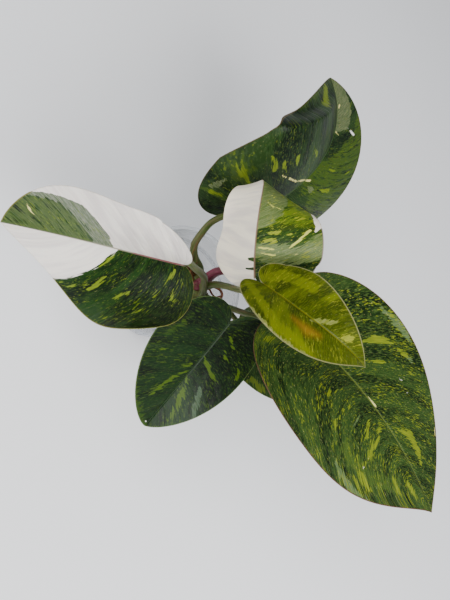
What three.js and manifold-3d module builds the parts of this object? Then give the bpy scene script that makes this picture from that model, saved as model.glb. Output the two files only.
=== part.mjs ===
// Potted white knight philodendron: a climbing aroid with seven large variegated leaves on long
// petioles, growing from a short stem in a clear nursery pot of chunky potting mix.
// Millimetres, +Z up. The origin is the middle of the pot's base, on the surface it stands on.
import * as THREE from "three";
import Module from "manifold-3d";

const wasm = await Module();
wasm.setup();

// Driving dimensions of the pot.
const POT_HEIGHT = 92;
const RIM_RADIUS = 52;
const RIM_BAND = 4;
const NECK_RADIUS = 49.6;
const STEP_HEIGHT = 67;
const STEP_RADIUS = 46.4;
const FOOT_RADIUS = 37;
const WALL = 1.3;
const FLOOR = 1.5;
const FLOOR_RAISE = 2.6;
const BOSS_RADIUS = 13;
const FOOT_INNER_RADIUS = 31;
const DRAIN_COUNT = 8;
const DRAIN_RADIUS = 3.4;
const DRAIN_CIRCLE = 22;
const NOTCH_COUNT = 4;
const NOTCH_WIDTH = 7;
const NOTCH_HEIGHT = 1.8;
const POT_SIDES = 32;

// Potting mix: its level, and the pieces of bark that lie half sunk in its top.
const MIX_LEVEL = 53;
const MIX_CROWN = 3;
const CHUNK_COUNT = 20;
const CHUNK_SIZE = 6;
const CHUNK_SEED = 11;

// Pieces that touch keep this gap.
const GAP = 0.35;

// Stem: centre line and radius, with a swollen ring at each old leaf scar.
const STEM_PATH = [
  [1, 1, 27],
  [1.5, 1, 50],
  [3, 0.5, 78],
  [4.5, 0, 98],
  [5.5, -0.5, 112],
];
const STEM_RADIUS = 6.6;
const STEM_TOP_RADIUS = 5.4;
const STEM_NODE_SPACING = 13;
const STEM_NODE_SWELL = 0.7;
const STEM_SIDES = 12;

// Leaf blades.
const BLADE = 0.8;
const MIDRIB = 1.5;
const VEIN_SWEEP = 0.06;
const LOBE_SHARE = 0.35;
const FAN_SHARE = 0.25;
const FIRST_VEIN = 0.06;

// Every leaf starts from these values. x, y, z place the point where the petiole meets the blade.
// heading, pitch and roll aim the blade there, in degrees. sweep, droop and twist are how much
// they change by the tip, droop over the share reach of the length with the power bend.
// length runs along the midrib, width is that of one half, right_width scales the right half.
// lobe is how far the blade reaches back, wide where it is widest, belly, tip_x and tip_y its
// taper. left and right hold the half's slope at the midrib and its curl to the margin, in
// degrees, at the base and at the tip. A bulge widens the left half by a bell curve.
const LEAF = {
  x: 0, y: 0, z: 160,
  heading: 0, sweep: 0, pitch: 0, droop: 30, roll: 0, twist: 0,
  bend: 1.3, reach: 1,
  length: 150, width: 50, right_width: 1, lobe: 28, wide: 0.2,
  belly: 0.33, tip_x: 0.86, tip_y: 0.2,
  left: { slope: [15, 10], curl: [0, 0] },
  right: { slope: [15, 10], curl: [0, 0] },
  crest: null, bulge: null,
  veins: 23, steps: 5,
};

const LEAVES = {
  // Front left: one half white above, the other half deep green with a white tip.
  half_white: {
    x: -7, y: -58, z: 185,
    heading: 229, sweep: 10, pitch: -42, droop: -20, roll: -31, twist: -13, bend: 0.5,
    length: 127, width: 58, right_width: 1.14, lobe: 13, wide: 0.16,
    belly: 0.49, tip_x: 0.92, tip_y: 0.43,
    left: { slope: [-5, -32], curl: [89, 15] },
    right: { slope: [69, 20], curl: [-13, 16] },
    steps: 6,
  },
  // Back: stands up and turns over, its left half raised in a long slanting crest.
  tall: {
    x: -41, y: 58, z: 141,
    heading: 96, sweep: 77, pitch: 60, droop: 71, roll: 27, twist: -16, bend: 0.7,
    length: 153, width: 64, right_width: 0.99, lobe: 42, wide: 0.21,
    belly: 0.42, tip_x: 0.93, tip_y: 0.34,
    left: { slope: [27, 4], curl: [-30, -6] },
    right: { slope: [-17, 15], curl: [-25, -20] },
    crest: { rise: 20, at: 0.92, slant: 0.55, soft: 0.05 },
    bulge: { rise: 0.12, at: 0.39, spread: 0.07 },
    veins: 34, steps: 8,
  },
  // Front right, low: the darkest leaf.
  dark: {
    x: 42, y: -22, z: 162,
    heading: 313, sweep: -2, pitch: -37, droop: 0, roll: -12, twist: 8,
    length: 105, width: 50, right_width: 1.03, lobe: 16,
    belly: 0.35, tip_x: 0.96, tip_y: 0.34,
    left: { slope: [-8, 10], curl: [-1, -8] },
    right: { slope: [13, 8], curl: [-8, 3] },
  },
  // Right: the longest leaf, nearly level.
  long: {
    x: 55, y: 27, z: 172,
    heading: 27, sweep: -16, pitch: 25, droop: 32, roll: 0, twist: 12, bend: 0.68,
    length: 201, width: 68, right_width: 1.07, lobe: 21, wide: 0.33,
    belly: 0.43, tip_x: 0.89, tip_y: 0.24,
    left: { slope: [12, -9], curl: [8, -12] },
    right: { slope: [19, 3], curl: [-19, -8] },
    veins: 27, steps: 6,
  },
  // Middle: folded down along the midrib, with a white left half.
  folded: {
    x: 14, y: -12, z: 196,
    heading: 186, sweep: -98, pitch: 30, droop: 115, roll: -26, twist: 0, bend: 1.6, reach: 0.9,
    length: 122, width: 46, right_width: 1.06, lobe: 16, wide: 0.12,
    belly: 0.52, tip_x: 0.93, tip_y: 0.35,
    left: { slope: [-66, -50], curl: [0, 0] },
    right: { slope: [2, -15], curl: [5, -20] },
  },
  // Top: the youngest leaf, small and lime yellow.
  lime: {
    x: 22, y: -26, z: 221,
    heading: 22, sweep: 27, pitch: 32, droop: 62, roll: -8, twist: 28, bend: 1.36,
    length: 101, width: 31, lobe: 12, wide: 0.19,
    belly: 0.26, tip_x: 0.83, tip_y: 0.11,
    left: { slope: [-7, 17], curl: [16, 0] },
    right: { slope: [23, 0], curl: [-18, 0] },
  },
  // Right, lowest: half hidden below the dark and the long leaf.
  low: {
    x: 65, y: 34, z: 96,
    heading: 39, sweep: -2, pitch: 2, droop: 16, roll: -1, twist: -2, bend: 1.31,
    length: 108, width: 40, lobe: 20, wide: 0.19,
    belly: 0.32,
    left: { slope: [15, 10], curl: [2, 2] },
    right: { slope: [16, 11], curl: [2, 3] },
  },
};

// Petioles: centre line from inside the stem to just short of the blade, and the radius at
// both ends. The last point, under the blade's base, is worked out from the leaf, moved
// sideways by aside where a half folds down close to it.
const PETIOLES = {
  half_white: {
    radius: [3.5, 2.4],
    path: [[5, -0.5, 95], [12, -3, 101], [13.5, -4, 109], [9, -6, 119], [3, -10, 130], [-1, -20, 144], [-4.5, -34, 160]],
  },
  tall: {
    radius: [3.6, 2.3],
    path: [[4.5, 0, 99], [-8, 4.5, 105], [-19, 0, 110.5], [-28, 0, 116], [-36, 8, 121], [-42, 17, 126], [-44, 30, 132], [-43, 43, 137]],
  },
  folded: {
    radius: [4.2, 2.3], aside: -2.8,
    path: [[5, 0, 105], [2.5, 1, 116], [0, 4, 126], [1, 5, 138], [6, 2.5, 160], [10.5, -4, 180]],
  },
  lime: {
    radius: [3, 2],
    path: [[6, -1, 106], [8, -2, 118], [9.5, -3, 132], [14, -7, 152], [20, -14, 176], [23, -22, 198]],
  },
  long: {
    radius: [3.2, 2.1],
    path: [[4, 0, 84], [12, 2, 92], [22, 5, 106], [31.5, 9, 124], [41, 11, 145], [49, 18, 160]],
  },
  dark: {
    radius: [3.2, 2.2],
    path: [[4, 0, 82], [12, -5, 92], [22, -8, 110], [31, -13, 132], [38, -18, 149]],
  },
  low: {
    radius: [2.8, 1.9],
    path: [[3.5, 0.5, 76], [13, 8, 90], [29, 17, 103], [45, 25, 105.5], [57, 30.5, 101.5]],
  },
};
const PETIOLE_SIDES = 8;
const PETIOLE_STEP = 8;
const SHEATH_SWELL = 0.3;

// Dry scale leaves that once wrapped the growing tip, and aerial roots.
const CATAPHYLLS = {
  cataphyll_green: { radius: [2.6, 0.5], flat: 0.42, path: [[-3, 2, 102], [-11, -4, 108], [-17.5, -6.5, 115], [-23, -5.5, 122], [-27.5, -4.5, 129]] },
  cataphyll_dry: { radius: [2, 0.5], flat: 0.45, path: [[0, -4, 101], [-7, -5.5, 106], [-11, -5, 112], [-13, -3, 118]] },
};
const ROOTS = {
  aerial_root_long: { radius: [1.3, 1], path: [[4.5, 0, 96], [9, 13, 102], [13.5, 19, 103], [19, 24, 97], [22.5, 26, 84], [23, 26.5, 66], [22.5, 26, 42]] },
  aerial_root_curl: { radius: [1.2, 0.6], path: [[5, 0, 105], [10.5, 3.5, 111], [15.5, 6, 109.5], [19, 10, 107], [19.5, 15, 107]] },
  aerial_root_low: { radius: [1.4, 1], path: [[3, 0.5, 76], [-7, -7, 73], [-13, -12, 64], [-14.5, -13.5, 52], [-14.5, -13.5, 40]] },
};

// Helpers.
const rad = (degrees) => (degrees * Math.PI) / 180;
const mix = (a, b, t) => a + (b - a) * t;
const clamp = (x, low, high) => Math.min(Math.max(x, low), high);
const vec = (p) => new THREE.Vector3(p[0], p[1], p[2]);

function smooth(x) {
  const t = clamp(x, 0, 1);
  return t * t * (3 - 2 * t);
}

// Small repeatable random numbers between 0 and 1.
function randomFrom(seed) {
  let state = seed;
  return () => {
    state = (state * 16807) % 2147483647;
    return state / 2147483647;
  };
}

function solidFrom(points, triangles) {
  const vertProperties = new Float32Array(points.length * 3);
  points.forEach((p, i) => vertProperties.set([p.x, p.y, p.z], 3 * i));
  const triVerts = new Uint32Array(triangles.flat());
  return new wasm.Manifold(new wasm.Mesh({ numProp: 3, vertProperties, triVerts }));
}

function meshFrom(name, solid, material) {
  const { vertProperties, triVerts } = solid.getMesh();
  const geometry = new THREE.BufferGeometry();
  geometry.setAttribute("position", new THREE.BufferAttribute(vertProperties, 3));
  geometry.setIndex(new THREE.BufferAttribute(triVerts, 1));
  geometry.computeVertexNormals();
  const mesh = new THREE.Mesh(geometry, material);
  mesh.name = name;
  return mesh;
}

// The largest body of a solid, so that a cut leaves no loose scrap.
function largest(solid) {
  const bodies = solid.decompose();
  return bodies.reduce((a, b) => (b.volume() > a.volume() ? b : a));
}

// A profile of [radius, z] points turned about Z. It closes on itself or starts and ends on
// the axis.
function turned(profile, sides) {
  const points = [];
  const rings = profile.map(([r, z]) => {
    if (r === 0) {
      points.push(new THREE.Vector3(0, 0, z));
      return [points.length - 1];
    }
    return Array.from({ length: sides }, (_, i) => {
      const a = (2 * Math.PI * i) / sides;
      points.push(new THREE.Vector3(r * Math.cos(a), r * Math.sin(a), z));
      return points.length - 1;
    });
  });
  const triangles = [];
  for (let k = 0; k + 1 < rings.length; k++) {
    const low = rings[k];
    const high = rings[k + 1];
    for (let i = 0; i < sides; i++) {
      const j = (i + 1) % sides;
      if (low.length > 1) triangles.push([low[i], low[j], high[high.length > 1 ? j : 0]]);
      if (high.length > 1) triangles.push([low[low.length > 1 ? i : 0], high[j], high[i]]);
    }
  }
  return solidFrom(points, triangles);
}

// A tapering tube along a smooth line through the given points. radiusAt gives the radius at
// the share t of the length, flat squeezes the section, grow widens it all round.
function tube(path, radiusAt, sides, step, flat = 1, grow = 0) {
  const curve = new THREE.CatmullRomCurve3(path.map(vec), false, "centripetal");
  const count = Math.max(4, Math.round(curve.getLength() / step));
  const frames = curve.computeFrenetFrames(count, false);
  const points = [];
  for (let i = 0; i <= count; i++) {
    const centre = curve.getPointAt(i / count);
    const radius = radiusAt(i / count);
    for (let k = 0; k < sides; k++) {
      const a = (2 * Math.PI * k) / sides;
      const across = (radius + grow) * Math.cos(a);
      const along = (radius * flat + grow) * Math.sin(a);
      points.push(
        centre.clone().addScaledVector(frames.normals[i], across).addScaledVector(frames.binormals[i], along),
      );
    }
  }
  const triangles = [];
  for (let i = 0; i < count; i++) {
    for (let k = 0; k < sides; k++) {
      const j = (k + 1) % sides;
      const a = i * sides;
      const b = a + sides;
      triangles.push([a + k, a + j, b + j], [a + k, b + j, b + k]);
    }
  }
  const last = count * sides;
  for (let k = 1; k + 1 < sides; k++) triangles.push([0, k + 1, k], [last, last + k, last + k + 1]);
  return solidFrom(points, triangles);
}

// Pot: a closed profile of outer wall, rim, inner wall and floor, turned about Z.
const wallRadius = (z) => mix(FOOT_RADIUS, STEP_RADIUS, z / STEP_HEIGHT);
const floorTop = FLOOR_RAISE + FLOOR;
const potProfile = [
  [0, 0],
  [BOSS_RADIUS, 0],
  [BOSS_RADIUS + 0.8, FLOOR_RAISE],
  [FOOT_INNER_RADIUS, FLOOR_RAISE],
  [FOOT_INNER_RADIUS + 0.8, 0],
  [FOOT_RADIUS - 0.6, 0],
  [wallRadius(1.2), 1.2],
  [STEP_RADIUS, STEP_HEIGHT],
  [STEP_RADIUS + 1.8, STEP_HEIGHT + 1.2],
  [NECK_RADIUS, POT_HEIGHT - RIM_BAND - 0.6],
  [RIM_RADIUS - 0.4, POT_HEIGHT - RIM_BAND],
  [RIM_RADIUS, POT_HEIGHT - 0.8],
  [RIM_RADIUS - 0.7, POT_HEIGHT],
  [NECK_RADIUS - WALL + 0.5, POT_HEIGHT],
  [NECK_RADIUS - WALL, POT_HEIGHT - 0.8],
  [STEP_RADIUS + 1.8 - WALL, STEP_HEIGHT + 1.8],
  [STEP_RADIUS - WALL, STEP_HEIGHT + 0.6],
  [wallRadius(floorTop + 2) - WALL, floorTop + 2],
  [wallRadius(floorTop) - WALL - 1.6, floorTop],
  [0, floorTop],
];

function drainCutter() {
  const drain = turned([[0, -1], [DRAIN_RADIUS, -1], [DRAIN_RADIUS, floorTop + 1], [0, floorTop + 1]], 12);
  const drains = Array.from({ length: DRAIN_COUNT }, (_, i) => {
    const a = (2 * Math.PI * (i + 0.5)) / DRAIN_COUNT;
    return drain.translate([DRAIN_CIRCLE * Math.cos(a), DRAIN_CIRCLE * Math.sin(a), 0]);
  });
  const bar = new THREE.BoxGeometry(12, NOTCH_WIDTH, 2 * NOTCH_HEIGHT);
  const corners = [];
  const position = bar.getAttribute("position");
  const seen = new Map();
  const faces = [];
  for (let i = 0; i < bar.index.count; i++) {
    const p = new THREE.Vector3().fromBufferAttribute(position, bar.index.getX(i));
    const key = p.toArray().join();
    if (!seen.has(key)) seen.set(key, corners.push(p) - 1);
    faces.push(seen.get(key));
  }
  const box = solidFrom(corners, Array.from({ length: faces.length / 3 }, (_, i) => faces.slice(3 * i, 3 * i + 3)));
  const notches = Array.from({ length: NOTCH_COUNT }, (_, i) => {
    const turn = (360 * (i + 0.5)) / NOTCH_COUNT;
    return box.translate([FOOT_RADIUS - 2, 0, 0]).rotate([0, 0, turn]);
  });
  return [...drains, ...notches].reduce((a, b) => a.add(b));
}

const pot = turned(potProfile, POT_SIDES).subtract(drainCutter());

// Stem and its swollen rings. The distance from the nearest ring sets the swelling.
const stemLength = new THREE.CatmullRomCurve3(STEM_PATH.map(vec), false, "centripetal").getLength();
function stemRadius(t) {
  const fromRing = Math.abs(((t * stemLength) % STEM_NODE_SPACING) - STEM_NODE_SPACING / 2);
  const swell = STEM_NODE_SWELL * Math.exp(-((fromRing / 1.6) ** 2));
  const end = Math.sqrt(1 - Math.max(0, (t - 0.96) / 0.04) ** 2 * 0.75);
  return (mix(STEM_RADIUS, STEM_TOP_RADIUS, t) + swell) * end;
}
const stemSolid = (grow) => tube(STEM_PATH, stemRadius, STEM_SIDES, 4, 1, grow);

// Leaf. The margin in the flat blade, u along the midrib and v across it: a curve round the
// lobe and one from the widest place to the tip. k runs from 0 at the petiole to 1 at the tip.
function bezier(p0, p1, p2, p3, t) {
  const s = 1 - t;
  return s ** 3 * p0 + 3 * t * s * s * p1 + 3 * t * t * s * p2 + t ** 3 * p3;
}

function margin(leaf, side, k) {
  const { length, lobe, wide, belly, tip_x, tip_y } = leaf;
  const { rise, at, spread } = (side > 0 && leaf.bulge) || { rise: 0, at: 0, spread: 1 };
  const swell = side * (1 + rise * Math.exp(-(((k - at) / spread) ** 2)));
  const width = leaf.width * (side < 0 ? leaf.right_width : 1);
  const back = 1.35 * lobe;
  if (k < LOBE_SHARE) {
    const t = k / LOBE_SHARE;
    return [bezier(0, -back, -back, wide * length, t), swell * bezier(0, 0.12 * width, width, width, t)];
  }
  const t = (k - LOBE_SHARE) / (1 - LOBE_SHARE);
  return [
    bezier(wide * length, (wide + belly) * length, tip_x * length, length, t),
    swell * bezier(width, width, tip_y * width, 0, t),
  ];
}

// The midrib's centre line and frame at u: it starts at the petiole and follows the heading,
// pitch and roll, which change along the blade.
function spine(leaf, u) {
  const frameAt = (s) => {
    const r = Math.max(s / leaf.length, 0);
    const heading = rad(leaf.heading + leaf.sweep * r);
    const pitch = rad(leaf.pitch - leaf.droop * clamp(r / leaf.reach, 0, 1) ** leaf.bend);
    const roll = rad(leaf.roll + leaf.twist * r);
    const ahead = new THREE.Vector3(
      Math.cos(pitch) * Math.cos(heading),
      Math.cos(pitch) * Math.sin(heading),
      Math.sin(pitch),
    );
    const level = new THREE.Vector3(-Math.sin(heading), Math.cos(heading), 0);
    const up = new THREE.Vector3().crossVectors(ahead, level);
    const side = level.clone().multiplyScalar(Math.cos(roll)).addScaledVector(up, Math.sin(roll));
    const face = up.clone().multiplyScalar(Math.cos(roll)).addScaledVector(level, -Math.sin(roll));
    return { ahead, side, face };
  };
  const steps = Math.max(2, Math.ceil(Math.abs(u) / 1.5));
  const at = new THREE.Vector3(leaf.x, leaf.y, leaf.z);
  for (let i = 0; i < steps; i++) at.addScaledVector(frameAt((u * (i + 0.5)) / steps).ahead, u / steps);
  return { at, ...frameAt(u) };
}

// The place in space of the point u, v of the flat blade. Each half leaves the midrib at its
// own slope and curls along a circular arc. A crest lifts part of the left half.
function lift(leaf, u, v) {
  const { at, side, face } = spine(leaf, u);
  const half = v >= 0 ? leaf.left : leaf.right;
  const share = smooth(u / leaf.length);
  const slope = rad(mix(half.slope[0], half.slope[1], share));
  const curl = rad(mix(half.curl[0], half.curl[1], share));
  const bend = Math.abs(curl) < 0.001 ? 0.001 : curl;
  const w = Math.abs(v);
  const end = slope + (bend * w) / leaf.width;
  const out = (leaf.width / bend) * (Math.sin(end) - Math.sin(slope));
  let rise = (-leaf.width / bend) * (Math.cos(end) - Math.cos(slope));
  if (leaf.crest && v > 0) {
    const { rise: height, at: place, slant, soft } = leaf.crest;
    const across = w / leaf.width;
    const before = (place - slant * across + soft - u / leaf.length) / (2 * soft);
    rise += height * smooth(before) * clamp(across, 0, 1) * clamp(u / leaf.length / 0.3, 0, 1);
  }
  return at.addScaledVector(side, Math.sign(v) * out).addScaledVector(face, rise);
}

// A blade is a grid on each half: rows follow the veins from the midrib to the margin. Both
// halves share the midrib's points, the petiole's point and the tip. The lower face is the
// upper one moved in along the normals, with the same triangles.
function blade(leaf) {
  const points = [];
  const thickness = [];
  const add = (u, v, t) => {
    points.push(lift(leaf, u, v));
    const rib = MIDRIB * (1 - 0.7 * clamp(u / leaf.length, 0, 1));
    thickness.push(BLADE + (t === 0 ? rib : 0));
    return points.length - 1;
  };
  const rows = leaf.veins;
  const base = add(0, 0, 0);
  const tip = add(leaf.length, 0, 1);
  const foot = (k) => leaf.length * clamp((k - FAN_SHARE) / (1 - FAN_SHARE), 0, 1) ** 1.15;
  const midrib = Array.from({ length: rows }, (_, i) => {
    const u = foot(mix(FIRST_VEIN, 1, i / rows));
    return u > 0 ? add(u, 0, 0) : base;
  });
  const grids = [1, -1].map((side) =>
    Array.from({ length: rows }, (_, i) => {
      const k = mix(FIRST_VEIN, 1, i / rows);
      const [mu, mv] = margin(leaf, side, k);
      const row = [midrib[i]];
      for (let j = 1; j <= leaf.steps; j++) {
        const t = j / leaf.steps;
        const u = mix(foot(k), mu, t) - VEIN_SWEEP * 4 * t * (1 - t) * Math.abs(mv);
        row.push(add(u, mv * t, t));
      }
      return row;
    }),
  );
  const faces = [];
  grids.forEach((grid, g) => {
    const push = (a, b, c) => {
      if (a === b || b === c || a === c) return;
      faces.push(g === 0 ? [a, b, c] : [a, c, b]);
    };
    for (let i = 0; i + 1 < rows; i++) {
      for (let j = 0; j < leaf.steps; j++) {
        const [a, b] = [grid[i][j], grid[i + 1][j]];
        const [c, d] = [grid[i + 1][j + 1], grid[i][j + 1]];
        push(a, b, c);
        push(a, c, d);
      }
    }
    const end = grid[rows - 1];
    for (let j = 0; j < leaf.steps; j++) push(end[j], tip, end[j + 1]);
  });
  return { points, thickness, faces };
}

function leafSolid(leaf) {
  const { points, thickness, faces } = blade(leaf);
  const normals = points.map(() => new THREE.Vector3());
  for (const [a, b, c] of faces) {
    const area = new THREE.Vector3()
      .subVectors(points[c], points[b])
      .cross(new THREE.Vector3().subVectors(points[a], points[b]));
    for (const i of [a, b, c]) normals[i].add(area);
  }
  const facing = normals[2].clone().normalize().dot(spine(leaf, 0).face) < 0 ? -1 : 1;
  const n = points.length;
  const lower = points.map((p, i) =>
    p.clone().addScaledVector(normals[i].normalize(), -facing * thickness[i]),
  );
  const edges = new Map();
  for (const [a, b, c] of faces) {
    for (const [p, q] of [[a, b], [b, c], [c, a]]) edges.set(p + "," + q, [p, q]);
  }
  const triangles = [];
  for (const [a, b, c] of faces) triangles.push([a, b, c], [a + n, c + n, b + n]);
  for (const [p, q] of edges.values()) {
    if (!edges.has(q + "," + p)) triangles.push([q, p, p + n], [q, p + n, q + n]);
  }
  const turnedOut = facing > 0 ? triangles : triangles.map(([a, b, c]) => [a, c, b]);
  return solidFrom([...points, ...lower], turnedOut);
}

// Takes away the place that a thin piece needs, its gap included, by cutting with copies
// moved to all sides.
const AROUND = [
  [0, 0, 0],
  [1, 0, 0], [-1, 0, 0], [0, 1, 0], [0, -1, 0], [0, 0, 1], [0, 0, -1],
];
function clearOf(solid, other) {
  return AROUND.reduce((left, d) => left.subtract(other.translate(d.map((x) => x * GAP))), solid);
}

// Build.
const group = new THREE.Group();
const material = (color, roughness) => new THREE.MeshStandardMaterial({ color, roughness, metalness: 0 });
const grownStem = stemSolid(GAP);

const leaves = {};
for (const [name, values] of Object.entries(LEAVES)) {
  const leaf = { ...LEAF, ...values };
  leaves[name] = { leaf, solid: leafSolid(leaf) };
}

const petioleRadius = (radius) => (t) => mix(radius[0], radius[1], t) * (1 + SHEATH_SWELL * Math.exp(-8 * t));
const standing = [];
const petioles = {};
for (const [name, { radius, path, aside = 0 }] of Object.entries(PETIOLES)) {
  const { leaf, solid } = leaves[name];
  const { at, ahead, side, face } = spine(leaf, 0);
  const end = at.addScaledVector(face, -radius[1] * 0.9).addScaledVector(ahead, 1);
  const route = [...path, end.addScaledVector(side, aside).toArray()];
  let piece = tube(route, petioleRadius(radius), PETIOLE_SIDES, PETIOLE_STEP).subtract(grownStem);
  for (const other of standing) piece = piece.subtract(other);
  piece = clearOf(piece, solid);
  petioles[name] = largest(piece);
  standing.push(tube(route, petioleRadius(radius), PETIOLE_SIDES, PETIOLE_STEP, 1, GAP));
}

const scales = {};
for (const [name, { radius, flat, path }] of Object.entries(CATAPHYLLS)) {
  const radiusAt = (t) => mix(radius[0], radius[1], t ** 1.5);
  let piece = tube(path, radiusAt, 8, 4, flat).subtract(grownStem);
  for (const other of standing) piece = piece.subtract(other);
  scales[name] = largest(piece);
  standing.push(tube(path, radiusAt, 8, 4, flat, GAP));
}

const roots = {};
const grownRoots = [];
for (const [name, { radius, path }] of Object.entries(ROOTS)) {
  const radiusAt = (t) => mix(radius[0], radius[1], t);
  let piece = tube(path, radiusAt, 7, 4).subtract(grownStem);
  for (const other of standing) piece = piece.subtract(other);
  roots[name] = largest(piece);
  const grown = tube(path, radiusAt, 7, 4, 1, GAP);
  standing.push(grown);
  grownRoots.push(grown);
}

// Potting mix: fills the pot to its level, 0.3 mm clear of the wall, with bark pieces in its
// domed top and plain holes where the stem and the roots stand.
function chunk(random) {
  const shape = new THREE.IcosahedronGeometry(1, 0);
  const position = shape.getAttribute("position");
  const size = CHUNK_SIZE * (0.55 + 0.6 * random());
  const stretch = [size * (1 + 0.5 * random()), size * (0.6 + 0.3 * random()), size * (0.4 + 0.3 * random())];
  const turn = new THREE.Euler(random() - 0.5, random() - 0.5, 2 * Math.PI * random());
  const seen = new Map();
  const corners = [];
  const faces = [];
  for (let i = 0; i < position.count; i++) {
    const p = new THREE.Vector3().fromBufferAttribute(position, i);
    const key = p.toArray().map((x) => x.toFixed(3)).join();
    if (!seen.has(key)) {
      const jitter = 0.8 + 0.4 * random();
      const q = new THREE.Vector3(p.x * stretch[0], p.y * stretch[1], p.z * stretch[2]);
      seen.set(key, corners.push(q.multiplyScalar(jitter).applyEuler(turn)) - 1);
    }
    faces.push(seen.get(key));
  }
  return solidFrom(corners, Array.from({ length: faces.length / 3 }, (_, i) => faces.slice(3 * i, 3 * i + 3)));
}

function pottingMix() {
  const inner = (z) => wallRadius(z) - WALL - GAP;
  const edge = inner(MIX_LEVEL);
  const body = turned(
    [
      [0, floorTop + GAP],
      [inner(floorTop) - 2, floorTop + GAP],
      [inner(floorTop + 2.6), floorTop + 2.6],
      [edge, MIX_LEVEL],
      [edge * 0.6, MIX_LEVEL + 0.7 * MIX_CROWN],
      [0, MIX_LEVEL + MIX_CROWN],
    ],
    POT_SIDES,
  );
  const random = randomFrom(CHUNK_SEED);
  const space = turned(
    [[0, MIX_LEVEL - 12], [inner(MIX_LEVEL - 12), MIX_LEVEL - 12], [inner(MIX_LEVEL + 9), MIX_LEVEL + 9], [0, MIX_LEVEL + 9]],
    POT_SIDES,
  );
  let bits = null;
  for (let i = 0; i < CHUNK_COUNT; i++) {
    const r = edge * 0.95 * Math.sqrt((i + 0.5) / CHUNK_COUNT);
    const a = i * 2.4 + random() * 0.5;
    const z = MIX_LEVEL + MIX_CROWN * (1 - r / edge) - 0.6;
    const piece = chunk(random).translate([r * Math.cos(a), r * Math.sin(a), z]);
    bits = bits ? bits.add(piece) : piece;
  }
  let filled = body.add(bits.intersect(space)).subtract(grownStem);
  for (const root of grownRoots) filled = filled.subtract(root);
  return largest(filled);
}

const green = { half_white: "#c9cdb8", tall: "#2c4a2c", dark: "#1d3a1c", long: "#3f6a1f", folded: "#b9bf95", lime: "#8f9a16", low: "#4c7a34" };
const stalk = { half_white: "#5b6038", tall: "#4f5c30", folded: "#7a3045", lime: "#5c6228", long: "#3c3f22", dark: "#3f4426", low: "#4c5a2c" };

group.add(meshFrom("pot", pot, material("#c8ccd0", 0.2)));
group.add(meshFrom("potting_mix", pottingMix(), material("#3a2a1e", 0.95)));
group.add(meshFrom("stem", largest(stemSolid(0)), material("#4a2430", 0.5)));
for (const [name, solid] of Object.entries(petioles)) group.add(meshFrom("petiole_" + name, solid, material(stalk[name], 0.45)));
for (const [name, { solid }] of Object.entries(leaves)) group.add(meshFrom("leaf_" + name, solid, material(green[name], 0.4)));
for (const [name, solid] of Object.entries(scales)) {
  group.add(meshFrom(name, solid, material(name === "cataphyll_dry" ? "#a8683a" : "#7f8438", 0.6)));
}
for (const [name, solid] of Object.entries(roots)) group.add(meshFrom(name, solid, material("#7a4420", 0.7)));

export default group;
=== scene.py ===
# Potted white knight philodendron: its looks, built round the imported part.

# %% [markdown]
# # A potted white knight philodendron
# A climbing house plant with seven large leaves, marked in white, cream, lime and sage, in a
# clear nursery pot of bark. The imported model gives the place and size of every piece. Here each
# piece gets its fine form and its finish.

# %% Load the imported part
from functools import partial

import bpy
import numpy as np
from mathutils import Matrix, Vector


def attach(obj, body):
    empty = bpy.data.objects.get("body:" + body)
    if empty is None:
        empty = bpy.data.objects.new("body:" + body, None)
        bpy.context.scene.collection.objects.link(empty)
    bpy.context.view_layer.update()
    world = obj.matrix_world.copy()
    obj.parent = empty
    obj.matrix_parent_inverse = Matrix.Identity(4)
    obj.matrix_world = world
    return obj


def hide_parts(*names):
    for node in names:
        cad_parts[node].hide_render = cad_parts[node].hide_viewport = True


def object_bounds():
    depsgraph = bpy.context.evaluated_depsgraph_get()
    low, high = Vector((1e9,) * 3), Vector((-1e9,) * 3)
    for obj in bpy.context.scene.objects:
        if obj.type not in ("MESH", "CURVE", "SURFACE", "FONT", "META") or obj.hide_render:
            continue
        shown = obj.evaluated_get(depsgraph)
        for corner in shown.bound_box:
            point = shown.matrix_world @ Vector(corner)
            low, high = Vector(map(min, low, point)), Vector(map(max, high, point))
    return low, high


MM = 0.001
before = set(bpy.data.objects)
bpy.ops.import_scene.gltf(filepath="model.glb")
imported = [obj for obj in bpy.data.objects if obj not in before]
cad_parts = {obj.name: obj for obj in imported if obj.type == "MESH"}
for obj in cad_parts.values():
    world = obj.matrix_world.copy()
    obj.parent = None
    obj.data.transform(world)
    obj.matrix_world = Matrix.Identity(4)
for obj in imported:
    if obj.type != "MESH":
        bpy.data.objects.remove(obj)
cad_box = [list(corner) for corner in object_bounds()]
print("nodes:", len(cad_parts))

# %% [markdown]
# ## Camera
# The pot's rim shows as an ellipse, which gives the height and the lens of the camera. The plant
# leans by 72 degrees in the picture, so the camera is rolled as well. Its three axes are written
# as one matrix, which is plainer than three turns in a row.

# %% Camera
CAMERA_AT = (24, -244, 492)
CAMERA_DOWN = 55.7
CAMERA_ROLL = 72.2
FOCAL_SHARE = 533 / 600


def add_camera():
    """Looks along +Y, tips down, then rolls: right and up are mixed by the roll's cosine and
    sine."""
    down, roll = np.radians([CAMERA_DOWN, CAMERA_ROLL])
    right = np.array([1, 0, 0])
    up = np.array([0, np.sin(down), np.cos(down)])
    back = np.array([0, -np.cos(down), np.sin(down)])
    turned_right = np.cos(roll) * right + np.sin(roll) * up
    turned_up = np.cos(roll) * up - np.sin(roll) * right
    matrix = np.eye(4)
    matrix[:3, :3] = np.stack([turned_right, turned_up, back], axis=1)
    matrix[:3, 3] = np.array(CAMERA_AT) * MM
    data = bpy.data.cameras.new("camera")
    data.sensor_width = 36
    data.lens = 36 * FOCAL_SHARE
    camera = bpy.data.objects.new("camera", data)
    camera.matrix_world = Matrix(matrix.tolist())
    bpy.context.scene.collection.objects.link(camera)
    bpy.context.scene.camera = camera
    return camera


print("lens:", round(add_camera().data.lens, 2))

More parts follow.
